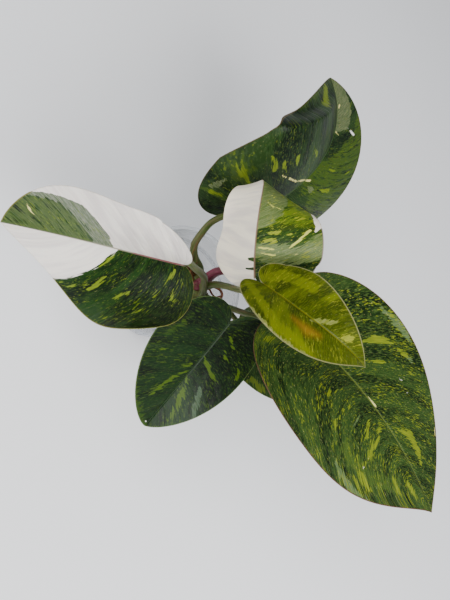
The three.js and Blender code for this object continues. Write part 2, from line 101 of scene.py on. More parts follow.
# %% [markdown]
# ## From arrays to meshes
# Every new piece is a surface worked out as whole arrays of points. One helper turns such arrays
# into a Blender object in metres, hides the plain solid that it stands for, and keeps named
# attributes for the materials. A mesh filled with foreach_set is much faster than one built
# face by face.


# %% Mesh helper
def surface(name, points, triangles, slot, stands_for=None, sharp=None, **attributes):
    """Makes an object of triangles. Points and each named attribute are n by 3 arrays, the
    points in millimetres and held inside the CAD box. Edges that turn more than sharp degrees
    shade as edges."""
    points = np.clip(points, *(np.array(cad_box) / MM))
    mesh = bpy.data.meshes.new(name)
    mesh.vertices.add(len(points))
    mesh.vertices.foreach_set("co", (points * MM).astype(np.float32).ravel())
    mesh.loops.add(triangles.size)
    mesh.loops.foreach_set("vertex_index", triangles.astype(np.int32).ravel())
    mesh.polygons.add(len(triangles))
    mesh.polygons.foreach_set("loop_start", np.arange(0, triangles.size, 3, dtype=np.int32))
    mesh.update(calc_edges=True)
    mesh.polygons.foreach_set("use_smooth", np.ones(len(triangles), bool))
    if sharp:
        mesh.set_sharp_from_angle(angle=np.radians(sharp))
    for label, values in attributes.items():
        layer = mesh.attributes.new(label, "FLOAT_VECTOR", "POINT")
        layer.data.foreach_set("vector", values.astype(np.float32).ravel())
    piece = bpy.data.objects.new(name, mesh)
    bpy.context.scene.collection.objects.link(piece)
    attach(piece, "root")
    if stands_for:
        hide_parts(stands_for)
    print(name, "has", len(triangles), "triangles")
    return piece


def unit(vectors):
    """Each row divided by its own length."""
    return vectors / np.maximum(np.linalg.norm(vectors, axis=-1, keepdims=True), 1e-9)


def smooth(x):
    """An S curve from 0 to 1: three x squared less two x cubed."""
    x = np.clip(x, 0, 1)
    return x * x * (3 - 2 * x)


# %% [markdown]
# ## The form of a leaf
# A blade of this kind is heart shaped. It could be sculpted, or cut from a plane with a picture
# of a leaf, but a formula keeps all seven alike and gives each point a place along its vein.
# A point is named by k, its vein from the leaf base to the tip, and t, how far out along the
# vein. The flat outline is two Bezier curves. The midrib is a line in space whose aim changes
# along its length, and each half leaves it at a slope and curls along a circle.

# %% Leaf measures
VEIN_SWEEP = 0.06
LOBE_SHARE = 0.35
FAN_SHARE = 0.25
FOOT_POWER = 1.15
BLADE = 0.8
MARGIN_BLADE = 0.35
THINS_WITHIN = 4
MIDRIB = 1.5
MIDRIB_SPREAD = 1.7
LINE_STEP = 0.25
LINE_BACK = 90
CREST_GROWS = 0.3

LEAF = {
    "bend": 1.3, "reach": 1, "right_width": 1, "wide": 0.2, "tip_x": 0.86, "tip_y": 0.2,
    "crest": None, "bulge": None, "left_veins": (0, 0), "right_veins": (0, 0),
}

LEAVES = {
    "half_white": {
        "at": (-7, -58, 185), "heading": 229, "sweep": 10, "pitch": -42, "droop": -20,
        "roll": -31, "twist": -13, "bend": 0.5, "length": 127, "width": 58,
        "right_width": 1.14, "lobe": 13, "wide": 0.16, "belly": 0.49, "tip_x": 0.92,
        "tip_y": 0.43, "left": (-5, -32, 89, 15), "right": (69, 20, -13, 16),
        "left_veins": (0, -0.1),
    },
    "tall": {
        "at": (-41, 58, 141), "heading": 96, "sweep": 77, "pitch": 60, "droop": 71,
        "roll": 27, "twist": -16, "bend": 0.7, "length": 153, "width": 64,
        "right_width": 0.99, "lobe": 42, "wide": 0.21, "belly": 0.42, "tip_x": 0.93,
        "tip_y": 0.34, "left": (27, 4, -30, -6), "right": (-17, 15, -25, -20),
        "crest": {"rise": 20, "at": 0.92, "slant": 0.55, "soft": 0.05},
        "bulge": {"rise": 0.12, "at": 0.39, "spread": 0.07},
    },
    "dark": {
        "at": (42, -22, 162), "heading": 313, "sweep": -2, "pitch": -37, "droop": 0,
        "roll": -12, "twist": 8, "length": 105, "width": 50, "right_width": 1.03,
        "lobe": 16, "belly": 0.35, "tip_x": 0.96, "tip_y": 0.34,
        "left": (-8, 10, -1, -8), "right": (13, 8, -8, 3),
    },
    "long": {
        "at": (55, 27, 172), "heading": 27, "sweep": -16, "pitch": 25, "droop": 32,
        "roll": 0, "twist": 12, "bend": 0.68, "length": 201, "width": 68,
        "right_width": 1.07, "lobe": 21, "wide": 0.33, "belly": 0.43, "tip_x": 0.89,
        "tip_y": 0.24, "left": (12, -9, 8, -12), "right": (19, 3, -19, -8),
        "right_veins": (0.4, 0.05),
    },
    "folded": {
        "at": (14, -12, 196), "heading": 186, "sweep": -98, "pitch": 30, "droop": 115,
        "roll": -26, "twist": 0, "bend": 1.6, "reach": 0.9, "length": 122, "width": 46,
        "right_width": 1.06, "lobe": 16, "wide": 0.12, "belly": 0.52, "tip_x": 0.93,
        "tip_y": 0.35, "left": (-66, -50, 0, 0), "right": (2, -15, 5, -20),
        "right_veins": (0, -0.08),
    },
    "lime": {
        "at": (22, -26, 221), "heading": 22, "sweep": 27, "pitch": 32, "droop": 62,
        "roll": -8, "twist": 28, "bend": 1.36, "length": 101, "width": 31, "lobe": 12,
        "wide": 0.19, "belly": 0.26, "tip_x": 0.83, "tip_y": 0.11,
        "left": (-7, 17, 16, 0), "right": (23, 0, -18, 0),
    },
    "low": {
        "at": (65, 34, 96), "heading": 39, "sweep": -2, "pitch": 2, "droop": 16,
        "roll": -1, "twist": -2, "bend": 1.31, "length": 108, "width": 40, "lobe": 20,
        "wide": 0.19, "belly": 0.32, "left": (15, 10, 2, 2), "right": (16, 11, 2, 3),
    },
}
LEAVES = {name: {**LEAF, **values} for name, values in LEAVES.items()}
print("leaves:", ", ".join(LEAVES))


# %% Flat outline and veins
def bezier(a, b, c, d, t):
    """A cubic Bezier curve, the four weights being the terms of (1 - t + t) cubed."""
    s = 1 - t
    return s**3 * a + 3 * t * s * s * b + 3 * t * t * s * c + t**3 * d


def margin(leaf, side, k):
    """The outline of one half. Up to LOBE_SHARE of k it runs back round the lobe and out to the
    widest place, after that from there to the tip. A bulge widens the left half by a bell
    curve in k."""
    length = leaf["length"]
    width = leaf["width"] * (leaf["right_width"] if side < 0 else 1)
    back, wide = 1.35 * leaf["lobe"], leaf["wide"] * length
    near = np.clip(k / LOBE_SHARE, 0, 1)
    far = np.clip((k - LOBE_SHARE) / (1 - LOBE_SHARE), 0, 1)
    lobe = k < LOBE_SHARE
    shoulder = wide + leaf["belly"] * length
    u = np.where(lobe, bezier(0, -back, -back, wide, near),
        bezier(wide, shoulder, leaf["tip_x"] * length, length, far))
    v = np.where(lobe, bezier(0, 0.12 * width, width, width, near),
        bezier(width, width, leaf["tip_y"] * width, 0, far))
    if leaf["bulge"] and side > 0:
        v = v * (1 + leaf["bulge"]["rise"]
            * np.exp(-(((k - leaf["bulge"]["at"]) / leaf["bulge"]["spread"]) ** 2)))
    return u, side * v


def flat_place(leaf, side, k, t):
    """Where (k, t) lies in the flat blade. The vein's foot moves along the midrib with a power
    of k, and the vein bows back by a parabola in t."""
    foot = leaf["length"] * np.clip((k - FAN_SHARE) / (1 - FAN_SHARE), 0, 1) ** FOOT_POWER
    mu, mv = margin(leaf, side, k)
    u = foot * (1 - t) + mu * t - VEIN_SWEEP * 4 * t * (1 - t) * np.abs(mv)
    return u, mv * t


# %% Lifting the blade into space
def aim(leaf, u):
    """The midrib's direction, the blade's side direction and its face, at u. Heading, pitch and
    roll change along the length, and pitch by a power of it."""
    share = np.maximum(u / leaf["length"], 0)
    heading = np.radians(leaf["heading"] + leaf["sweep"] * share)
    drop = np.clip(share / leaf["reach"], 0, 1) ** leaf["bend"]
    pitch = np.radians(leaf["pitch"] - leaf["droop"] * drop)
    roll = np.radians(leaf["roll"] + leaf["twist"] * share)[..., None]
    flat = np.zeros_like(heading)
    ahead = np.stack([np.cos(pitch) * np.cos(heading), np.cos(pitch) * np.sin(heading),
        np.sin(pitch)], -1)
    level = np.stack([-np.sin(heading), np.cos(heading), flat], -1)
    up = np.cross(ahead, level)
    return ahead, level * np.cos(roll) + up * np.sin(roll), up * np.cos(roll) - level * np.sin(roll)


def midrib_line(leaf, u):
    """The midrib in space: its direction summed up in quarter millimetre steps from the
    petiole."""
    steps = np.arange(-LINE_BACK, leaf["length"] + 1, LINE_STEP)
    walked = np.cumsum(aim(leaf, steps + LINE_STEP / 2)[0] * LINE_STEP, axis=0)
    start = walked[np.searchsorted(steps, 0) - 1]
    return np.stack([np.interp(u, steps + LINE_STEP, walked[:, i] - start[i]) + leaf["at"][i]
        for i in range(3)], -1)


def lift(leaf, u, v):
    """The place in space of the flat point (u, v). A half's end direction is its slope plus its
    curl times the distance out, and the arc between is the difference of sines and cosines. A
    crest adds a soft step that slants across the left half."""
    ahead, side, face = aim(leaf, u)
    share = smooth(u / leaf["length"])
    halves = np.where((v >= 0)[..., None], leaf["left"], leaf["right"])
    slope = np.radians(halves[..., 0] + (halves[..., 1] - halves[..., 0]) * share)
    curl = np.radians(halves[..., 2] + (halves[..., 3] - halves[..., 2]) * share)
    curl = np.where(np.abs(curl) < 0.001, 0.001, curl)
    width = leaf["width"]
    across = np.abs(v)
    end = slope + curl * across / width
    out = width / curl * (np.sin(end) - np.sin(slope))
    rise = -width / curl * (np.cos(end) - np.cos(slope))
    crest = leaf["crest"]
    if crest:
        along = u / leaf["length"]
        ahead_of = crest["at"] - crest["slant"] * across / width + crest["soft"] - along
        step = smooth(ahead_of / (2 * crest["soft"]))
        step = step * np.clip(across / width, 0, 1) * np.clip(along / CREST_GROWS, 0, 1)
        rise = rise + crest["rise"] * step * (v > 0)
    return midrib_line(leaf, u) + side * (np.sign(v) * out)[..., None] + face * rise[..., None]


# %% [markdown]
# ## Where the colours lie
# White knight is a chimera: its growing tip holds cells without green, and each block of them draws
# a sector, a streak or a fleck that follows the veins. Sectors and streaks are placed for each
# leaf, as a signed distance in millimetres to their edge, which stays sharp however close the
# camera comes. Bright and deep marks are held to a small depth, so that the material's noise breaks
# them up all over. The small flecks come from noise in the material alone.

# %% Sectors and brush strokes
L, R = 1, -1
FIELD_LIMIT = 5
STREAKY_DEPTH = 1.4
STREAKY = ("bright", "deep")
SECTOR_SCALE = 0.8
VEIN_SCALE = 1.4


def stroke(leaf, flat, marks):
    """How far inside a painted stroke each flat point lies. A stroke is a chain of round marks
    (side, k, t, radius), joined by straight pieces whose radius changes evenly."""
    places = [flat_place(leaf, side, np.array(k), np.array(t)) for side, k, t, _ in marks]
    centres = np.array([[float(u), float(v)] for u, v in places])
    radii = np.array([mark[3] for mark in marks], float)
    best = radii[0] - np.hypot(*(flat - centres[0]).T)
    for a, b, ra, rb in zip(centres[:-1], centres[1:], radii[:-1], radii[1:]):
        way = b - a
        share = np.clip((flat - a) @ way / max(way @ way, 1e-6), 0, 1)
        gap = np.hypot(*(flat - a - share[:, None] * way).T)
        best = np.maximum(best, ra + (rb - ra) * share - gap)
    return best


def sector(leaf, grid, side, ends, low=None, high=None):
    """A block of one half between two edges, each given as k at even shares of t from the
    midrib to the margin. The distance is the step in k times a share of the length."""
    scale = SECTOR_SCALE * leaf["length"]
    field = side * grid["v"]
    t = np.linspace(0, 1, ends)
    if low is not None:
        field = np.minimum(field, (grid["k"] - np.interp(grid["t"], t, low)) * scale)
    if high is not None:
        field = np.minimum(field, (np.interp(grid["t"], t, high) - grid["k"]) * scale)
    return field


# One kind of mark darkens towards the leaf's dark green: a tone of the leaf itself, and on the tall
# leaf also painted shade in the hollow behind its crest.
KINDS = ("white", "sage", "lime", "cream", "deep", "fleck", "bright", "blush")
PAINT = {
    "half_white": {
        "white": [
            ("sector", R, 5, None, (0.582, 0.563, 0.562, 0.575, 0.75)),
            ("sector", L, 5, (0.56, 0.59, 0.61, 0.63, 0.66), None),
        ],
        "sage": [("sector", R, 5, (0.575, 0.555, 0.555, 0.565, 0.7),
            (0.664, 0.645, 0.648, 0.67, 0.79))],
        "lime": [
            [(L, 0.569, 0.12, 0.6), (L, 0.578, 0.2, 2), (L, 0.586, 0.31, 0.8)],
            [(L, 0.549, 0.44, 0.6), (L, 0.555, 0.58, 1.8), (L, 0.561, 0.71, 0.8)],
            [(L, 0.574, 0.64, 0.4), (L, 0.59, 0.75, 1), (L, 0.631, 0.95, 0.5)],
            [(L, 0.446, 0.51, 0.5), (L, 0.46, 0.57, 1.4), (L, 0.471, 0.63, 0.6)],
            [(L, 0.36, 0.37, 0.5), (L, 0.364, 0.44, 1)],
            [(L, 0.307, 0.1, 0.5), (L, 0.325, 0.18, 1.6), (L, 0.34, 0.27, 0.6)],
            [(L, 0.299, 0.32, 0.5), (L, 0.295, 0.46, 1)],
            [(L, 0.373, 0.66, 0.8), (L, 0.385, 0.75, 0.8)],
        ],
        "cream": [[(R, 0.83, 0.55, 0.3), (R, 0.82, 0.75, 0.9), (R, 0.81, 0.85, 0.3)]],
        "deep": [("sector", L, 3, (0.1, 0.1, 0.1), (0.42, 0.45, 0.45))],
        "bright": [("sector", R, 5, (0.66, 0.645, 0.65, 0.67, 0.79), None)],
        "blush": [[(L, 0.06, 0, 0.5), (L, 0.3, 0, 0.8), (L, 0.5, 0, 0.5)]],
    },
    "tall": {
        "white": [[(R, 0.75, 0.54, 0.2), (R, 0.735, 0.62, 0.8), (R, 0.72, 0.7, 1.2),
            (R, 0.705, 0.77, 0.4)]],
        "sage": [
            ("sector", R, 5, (0.76, 0.75, 0.755, 0.79, 0.9), None),
            [(R, 0.5, 0.16, 1.5), (R, 0.5, 0.24, 3)],
            [(L, 0.29, 0.72, 1), (L, 0.262, 0.78, 3), (L, 0.25, 0.86, 1.5)],
        ],
        "lime": [
            [(L, 0.322, 0.5, 0.6), (L, 0.318, 0.7, 2.2), (L, 0.32, 0.86, 1.2)],
            [(L, 0.25, 0.6, 0.8), (L, 0.24, 0.8, 1.8)],
            [(R, 0.515, 0.4, 1), (R, 0.516, 0.5, 2.6), (R, 0.52, 0.58, 1)],
            [(L, 0.84, 0.9, 2), (L, 0.79, 0.78, 3.4), (L, 0.7, 0.72, 2)],
            [(L, 0.56, 0.3, 0.5), (L, 0.54, 0.42, 1.1)],
            [(L, 0.42, 0.4, 0.5), (L, 0.41, 0.55, 1.3)],
            [(L, 0.38, 0.5, 0.4), (L, 0.375, 0.68, 1.2)],
            [(L, 0.45, 0.42, 0.4), (L, 0.45, 0.56, 0.9)],
            [(R, 0.58, 0.78, 1), (R, 0.585, 0.84, 0.8)],
            [(R, 0.6, 0.3, 0.4), (R, 0.6, 0.42, 0.9)],
        ],
        "cream": [
            [(L, 0.401, 0.39, 0.5), (L, 0.46, 0.16, 1), (L, 0.51, 0.03, 0.9), (R, 0.528, 0.08, 1)],
            [(R, 0.76, 0.06, 0.9), (R, 0.742, 0.2, 0.6)],
            [(R, 0.86, 0.12, 0.4), (R, 0.87, 0.22, 0.8)],
        ],
        "deep": [
            ("sector", L, 3, (0.34, 0.38, 0.4), (0.45, 0.5, 0.52)),
            # painted shade: this stroke darkens the hollow behind the crest, near the left margin
            [(L, 0.5, 0.93, 3), (L, 0.57, 0.9, 4.5), (L, 0.64, 0.86, 3)],
        ],
        "bright": [
            [(L, 0.322, 0.42, 3), (L, 0.317, 0.6, 6), (L, 0.318, 0.8, 7), (L, 0.32, 0.93, 4)],
            [(L, 0.25, 0.5, 2), (L, 0.24, 0.75, 3), (L, 0.24, 0.9, 2)],
            [(L, 0.5, 1, 2.4), (L, 0.62, 1, 3), (L, 0.75, 1, 2.4)],
            ("sector", R, 3, (0.5, 0.44, 0.4), (0.62, 0.7, 0.76)),
            [(L, 0.4, 0.3, 2), (L, 0.4, 0.5, 3)],
        ],
    },
    "folded": {
        "white": [
            ("sector", L, 2, None, None),
            [(R, 0.54, 0.95, 0.8), (R, 0.5, 0.95, 2.2), (R, 0.465, 0.96, 2.4),
                (R, 0.445, 0.88, 0.8)],
        ],
        "sage": [
            ("sector", R, 5, (0.49, 0.51, 0.575, 0.76, 1.1), None),
            ("sector", R, 4, (0.36, 0.33, 0.33, 0.34), (0.43, 0.42, 0.4, 0.43)),
        ],
        "lime": [
            [(R, 0.68, 0.66, 0.6), (R, 0.61, 0.77, 2), (R, 0.56, 0.84, 0.8)],
            [(R, 0.53, 0.5, 0.5), (R, 0.52, 0.62, 1.6), (R, 0.51, 0.76, 0.6)],
            [(R, 0.475, 0.1, 0.5), (R, 0.47, 0.24, 1.3), (R, 0.462, 0.38, 0.5)],
            [(R, 0.455, 0.4, 0.5), (R, 0.45, 0.54, 1.2)],
            [(R, 0.44, 0.14, 0.4), (R, 0.438, 0.3, 0.9)],
        ],
        "cream": [
            [(R, 0.4, 0.5, 0.4), (R, 0.424, 0.65, 1), (R, 0.455, 0.82, 1)],
            [(R, 0.41, 0.04, 0.3), (R, 0.402, 0.25, 0.5), (R, 0.39, 0.36, 0.2)],
            [(R, 0.385, 0.1, 0.2), (R, 0.378, 0.24, 0.4), (R, 0.37, 0.36, 0.2)],
            [(R, 0.375, 0.45, 0.2), (R, 0.372, 0.6, 0.5), (R, 0.372, 0.7, 0.2)],
            [(R, 0.66, 0.2, 0.2), (R, 0.63, 0.29, 0.6)],
            [(R, 0.61, 0.15, 0.2), (R, 0.585, 0.25, 0.6)],
            [(R, 0.58, 0.3, 0.2), (R, 0.57, 0.38, 0.6)],
        ],
        "deep": [
            ("sector", R, 4, (0.43, 0.43, 0.44, 0.45), (0.49, 0.5, 0.48, 0.46)),
            ("sector", R, 2, None, (0.34, 0.32)),
        ],
        "bright": [("sector", R, 4, (0.49, 0.49, 0.47, 0.46), None)],
        "fleck": [
            [(L, 0.35, 0.02, 1.6), (L, 0.348, 0.14, 1)],
            [(L, 0.3, 0.03, 1.2), (L, 0.3, 0.2, 0.8)],
        ],
    },
    "lime": {
        "sage": [
            [(R, 0.3, 1, 0.8), (R, 0.38, 1, 1.8), (R, 0.46, 0.99, 1.2), (R, 0.55, 1, 0.4)],
            [(R, 0.553, 0.12, 0.6), (L, 0.6, 0.08, 1.6), (L, 0.63, 0.24, 1.6),
                (L, 0.656, 0.47, 0.4)],
        ],
        "lime": [[(L, 0.73, 0.3, 1.5), (L, 0.746, 0.44, 2.6), (L, 0.76, 0.58, 1)]],
        "cream": [[(R, 0.33, 1, 0.2), (R, 0.4, 1, 0.5), (R, 0.47, 1, 0.2)]],
        "deep": [("sector", L, 3, (0.4, 0.5, 0.62), None), ("sector", R, 3, (0.4, 0.5, 0.6), None)],
        "bright": [
            [(L, 0.1, 0.4, 3), (L, 0.3, 0.6, 5), (L, 0.45, 0.7, 4)],
            [(R, 0.2, 0.6, 3), (R, 0.4, 0.8, 4), (R, 0.6, 0.85, 2)],
        ],
        "blush": [[(R, 0.48, 0.36, 0.5), (R, 0.55, 0.42, 3), (R, 0.62, 0.34, 0.5)]],
    },
    "long": {
        "white": [
            [(R, 0.592, 0.7, 0.4), (R, 0.586, 0.74, 0.7)],
            [(L, 0.524, 0.59, 0.3), (L, 0.528, 0.62, 0.5)],
            [(L, 0.565, 0.61, 0.3), (L, 0.568, 0.64, 0.7)],
        ],
        "sage": [
            [(L, 0.332, 0.9, 1), (L, 0.344, 0.93, 3), (L, 0.369, 0.95, 3.6), (L, 0.397, 0.95, 1.6)],
            [(R, 0.467, 0.86, 0.8), (R, 0.492, 0.92, 2.2), (R, 0.545, 0.97, 2.4),
                (R, 0.627, 1, 0.8)],
            [(L, 0.44, 0.78, 0.5), (L, 0.455, 0.85, 1.2)],
            [(R, 0.56, 0.3, 0.3), (R, 0.54, 0.44, 0.8)],
        ],
        "lime": [
            [(R, 0.672, 0.12, 0.6), (R, 0.656, 0.31, 1.8), (R, 0.619, 0.53, 2.6),
                (R, 0.59, 0.71, 1.6)],
            [(R, 0.61, 0.24, 0.5), (R, 0.594, 0.44, 1.3)],
            [(R, 0.471, 0.51, 0.5), (R, 0.446, 0.63, 1.4)],
            [(R, 0.434, 0.35, 0.8), (R, 0.43, 0.4, 1.4)],
            [(R, 0.541, 0.85, 0.8), (R, 0.565, 0.9, 2), (R, 0.594, 0.97, 0.8)],
            [(R, 0.565, 0.78, 0.8), (R, 0.594, 0.85, 1.8), (R, 0.627, 0.9, 0.8)],
            [(R, 0.733, 0.64, 0.6), (R, 0.762, 0.73, 1.6), (R, 0.791, 0.8, 0.8)],
            [(R, 0.815, 0.49, 0.6), (R, 0.848, 0.59, 1.6), (R, 0.881, 0.68, 0.8)],
            [(L, 0.713, 0.2, 0.5), (L, 0.717, 0.42, 2.8), (L, 0.766, 0.49, 2.6),
                (L, 0.807, 0.51, 0.8)],
            [(L, 0.41, 0.44, 1), (L, 0.401, 0.58, 3.6), (L, 0.414, 0.73, 1.4)],
            [(L, 0.434, 0.75, 1), (L, 0.442, 0.81, 1.6)],
            [(L, 0.475, 0.39, 0.6), (L, 0.479, 0.49, 1.2)],
            [(R, 0.24, 0.45, 0.6), (R, 0.22, 0.6, 2)],
        ],
        "cream": [
            [(R, 0.61, 0.6, 0.3), (R, 0.6, 0.66, 0.8)],
            [(L, 0.6, 0.02, 0.2), (L, 0.64, 0.03, 0.9)],
            [(L, 0.639, 0.98, 0.8), (L, 0.668, 0.98, 0.8)],
        ],
        "deep": [("sector", L, 3, (0.3, 0.34, 0.36), (0.42, 0.46, 0.48))],
        "bright": [
            [(R, 0.188, 0.81, 4), (R, 0.221, 0.56, 5), (R, 0.246, 0.41, 3)],
            [(L, 0.41, 0.44, 2), (L, 0.401, 0.58, 5), (L, 0.414, 0.73, 3)],
            [(R, 0.5, 0.7, 4), (R, 0.6, 0.8, 6), (R, 0.75, 0.7, 5)],
        ],
    },
    "dark": {
        "white": [[(R, 0.965, 0.45, 0.2), (R, 0.955, 0.55, 0.6)]],
        "sage": [[(L, 0.63, 0.42, 0.4), (L, 0.643, 0.53, 1.4), (L, 0.665, 0.68, 2),
            (L, 0.688, 0.82, 2.2), (L, 0.7, 0.97, 1.4)]],
        "lime": [
            [(R, 0.62, 0.04, 0.4), (R, 0.66, 0.28, 1), (R, 0.7, 0.42, 1.8), (R, 0.762, 0.63, 0.6)],
            [(R, 0.64, 0.04, 0.4), (L, 0.7, 0.2, 1.4), (L, 0.754, 0.37, 2.2), (L, 0.79, 0.58, 1.9),
                (L, 0.832, 0.78, 0.6)],
            [(L, 0.51, 0.02, 0.3), (L, 0.528, 0.12, 0.6), (L, 0.545, 0.39, 1.7),
                (L, 0.545, 0.59, 0.7)],
            [(R, 0.6, 0.25, 0.3), (R, 0.58, 0.1, 1)],
            [(L, 0.336, 0.19, 0.8), (L, 0.36, 0.3, 1.6), (L, 0.381, 0.4, 0.8)],
            [(L, 0.42, 0.3, 0.8), (L, 0.44, 0.4, 1)],
            [(L, 0.42, 0.78, 1), (L, 0.45, 0.88, 1)],
            [(R, 0.508, 0.8, 0.6), (R, 0.5, 0.72, 0.9)],
        ],
        "deep": [("sector", L, 3, (0.2, 0.2, 0.2), (0.5, 0.6, 0.62))],
        "bright": [[(R, 0.7, 1, 1.6), (R, 0.85, 1, 2.2), (R, 0.97, 0.9, 3)],
            [(L, 0.9, 1, 1.6), (L, 0.8, 1, 1.2)], [(R, 0.3, 0.7, 0.6), (R, 0.4, 0.8, 1)]],
    },
    "low": {
        "sage": [[(L, 0.14, 0.4, 2), (L, 0.192, 0.68, 6), (L, 0.2, 0.9, 5)]],
        "lime": [[(R, 0.36, 0.8, 3), (R, 0.42, 0.9, 4)], [(L, 0.5, 0.3, 1), (L, 0.52, 0.5, 2)]],
    },
}


def paint_fields(leaf, marks, grid):
    """The largest field of each kind of mark, held within the limit, and streaky kinds within
    a smaller depth. Flecks cut into white."""
    flat = np.stack([grid["u"], grid["v"]], 1)
    fields = {}
    for kind in KINDS:
        field = np.full(len(flat), -float(FIELD_LIMIT))
        for mark in marks.get(kind, ()):
            if mark[0] == "sector":
                found = sector(leaf, grid, *mark[1:])
            else:
                found = stroke(leaf, flat, mark)
            field = np.maximum(field, found)
        fields[kind] = np.clip(field, -FIELD_LIMIT,
            STREAKY_DEPTH if kind in STREAKY else FIELD_LIMIT)
    fields["white"] = np.minimum(fields["white"], -fields["fleck"])
    return fields


# %% [markdown]
# ## Blades as closed thin shells
# A real blade is thinner than this one, which is 0.8 mm so that it prints and bakes well, and
# thins out over the last 4 mm to its margin. The upper face is the formula on a grid of veins,
# the lower face is moved in along the normals, and the midrib swells on the lower face only.
# Points that the formula puts in one place, such as all veins at the petiole, are merged with
# one call.

# %% Blade builder
VEINS_SHOWN = 190
STEPS_SHOWN = 38


def blade_grid(leaf):
    """k and t for both halves, with the points that fall on the same flat place merged."""
    k, t = np.meshgrid(np.linspace(0.006, 1, VEINS_SHOWN), np.linspace(0, 1, STEPS_SHOWN),
        indexing="ij")
    halves = [flat_place(leaf, side, k, t) for side in (L, R)]
    u = np.stack([half[0] for half in halves]).ravel()
    v = np.stack([half[1] for half in halves]).ravel()
    key = np.round(np.stack([u, v], 1), 3) + 0.0
    _, first, index = np.unique(key, axis=0, return_index=True, return_inverse=True)
    index = index.reshape(2, VEINS_SHOWN, STEPS_SHOWN)
    reach = []
    for side in (L, R):
        out_u, out_v = margin(leaf, side, k)
        reach.append(np.hypot(out_u - flat_place(leaf, side, k, 0 * t)[0], out_v))
    whole = {"u": u, "v": v, "k": np.tile(k.ravel(), 2), "t": np.tile(t.ravel(), 2),
        "reach": np.stack(reach).ravel()}
    whole["side"] = np.repeat([1.0, -1.0], k.size)
    return {label: values[first] for label, values in whole.items()}, index


def grid_triangles(index):
    """Two triangles for each cell, the right half turned over so that all face up. Cells that
    shrank to nothing at the petiole or the tip are left out."""
    a, b, c, d = index[:, :-1, :-1], index[:, 1:, :-1], index[:, 1:, 1:], index[:, :-1, 1:]
    both = [np.stack([a, b, c], -1), np.stack([a, c, d], -1)]
    left = np.concatenate([part[0].reshape(-1, 3) for part in both])
    right = np.concatenate([part[1].reshape(-1, 3) for part in both])[:, ::-1]
    faces = np.concatenate([left, right])
    a, b, c = faces.T
    return faces[(a != b) & (b != c) & (a != c)]


def point_normals(points, faces):
    """At each point, the sum of its faces' cross products, made a unit vector."""
    corners = points[faces]
    area = np.cross(corners[:, 1] - corners[:, 0], corners[:, 2] - corners[:, 0])
    total = np.zeros_like(points)
    for corner in range(3):
        np.add.at(total, faces[:, corner], area)
    return unit(total)


def closed_shell(upper, lower, faces):
    """Upper and lower face joined by a strip along the open edges, which are the edges that no
    second face runs the other way."""
    count = len(upper)
    edges = np.concatenate([faces[:, [0, 1]], faces[:, [1, 2]], faces[:, [2, 0]]])
    alone = ~np.isin(edges[:, 0] * count + edges[:, 1], edges[:, 1] * count + edges[:, 0])
    p, q = edges[alone].T
    rim = np.concatenate([np.stack([q, p, p + count], 1), np.stack([q, p + count, q + count], 1)])
    return np.concatenate([upper, lower]), np.concatenate([faces, faces[:, ::-1] + count, rim])


def build_blade(name):
    """Lifts the grid into space, gives it thickness, and stores for the material: the place
    along the veins, the colour fields, and the flat place."""
    leaf = LEAVES[name]
    grid, index = blade_grid(leaf)
    faces = grid_triangles(index)
    upper = lift(leaf, grid["u"], grid["v"])
    along_blade = np.clip(grid["u"] / leaf["length"], 0, 1)
    rib = MIDRIB * (1 - 0.7 * along_blade) * np.exp(-((grid["v"] / MIDRIB_SPREAD) ** 2))
    rib = rib * (grid["t"] < 0.98)
    edge = (1 - grid["t"]) * grid["reach"]
    thickness = MARGIN_BLADE + (BLADE - MARGIN_BLADE) * smooth(edge / THINS_WITHIN) + rib
    lower = upper - point_normals(upper, faces) * thickness[:, None]
    points, triangles = closed_shell(upper, lower, faces)
    fields = paint_fields(leaf, PAINT[name], grid)
    zero = np.zeros(len(upper))
    bow, lean = np.where(grid["side"][:, None] > 0, leaf["left_veins"], leaf["right_veins"]).T
    line = grid["k"] + bow * grid["t"] * (1 - grid["t"]) + lean * grid["t"]
    vein = np.stack([line * VEIN_SCALE * leaf["length"], grid["side"] * grid["t"] * grid["reach"],
        zero], 1)
    under = vein + [0, 0, 1]
    paint = np.stack([fields["white"], fields["sage"], fields["lime"]], 1)
    detail = np.stack([fields["cream"], fields["deep"], edge], 1)
    flat = np.stack([along_blade, grid["v"], zero], 1)
    tint = np.stack([fields["bright"], fields["blush"], zero], 1)
    return surface(
        "blade_" + name, points, triangles, "leaf_" + name, "leaf_" + name, sharp=50,
        vein=np.concatenate([vein, under]), paint=np.tile(paint, (2, 1)),
        detail=np.tile(detail, (2, 1)), flat=np.tile(flat, (2, 1)), tint=np.tile(tint, (2, 1)),
    )


blades = {name: build_blade(name) for name in LEAVES}

# %% [markdown]
# ## Placing shader nodes
# A material is a graph of nodes. Two short helpers place a node and join its sockets by name, so
# that a material reads as a list of sentences.


# %% Node helpers
def put(tree, kind, *values, **settings):
    """Adds a shader node. Values fill its inputs in order, None leaves one as it is, and an
    output of another node is linked."""
    made = tree.nodes.new("ShaderNode" + kind)
    for label, value in settings.items():
        setattr(made, label, value)
    for socket, value in zip(made.inputs, values):
        join(tree, socket, value)
    return made


def join(tree, socket, value):
    """Links an output, or sets a number or a colour."""
    if value is None:
        return
    if isinstance(value, bpy.types.NodeSocket):
        tree.links.new(value, socket)
    elif isinstance(value, tuple) and len(value) == 3 and socket.type == "RGBA":
        socket.default_value = (*value, 1)
    else:
        socket.default_value = value


def maths(tree, operation, a, b=None, c=None):
    """One Math node."""
    return put(tree, "Math", a, b, c, operation=operation).outputs[0]


def ramp(tree, value, low, high, out_low=0.0, out_high=1.0):
    """A smooth step from out_low to out_high while the value goes from low to high."""
    made = put(tree, "MapRange", value, low, high, out_low, out_high,
        interpolation_type="SMOOTHSTEP")
    return made.outputs[0]


def blend_colour(tree, share, a, b):
    """Colour a where share is 0, colour b where it is 1."""
    made = tree.nodes.new("ShaderNodeMix")
    made.data_type = "RGBA"
    join(tree, made.inputs[0], share)
    join(tree, made.inputs[6], a)
    join(tree, made.inputs[7], b)
    return made.outputs[2]


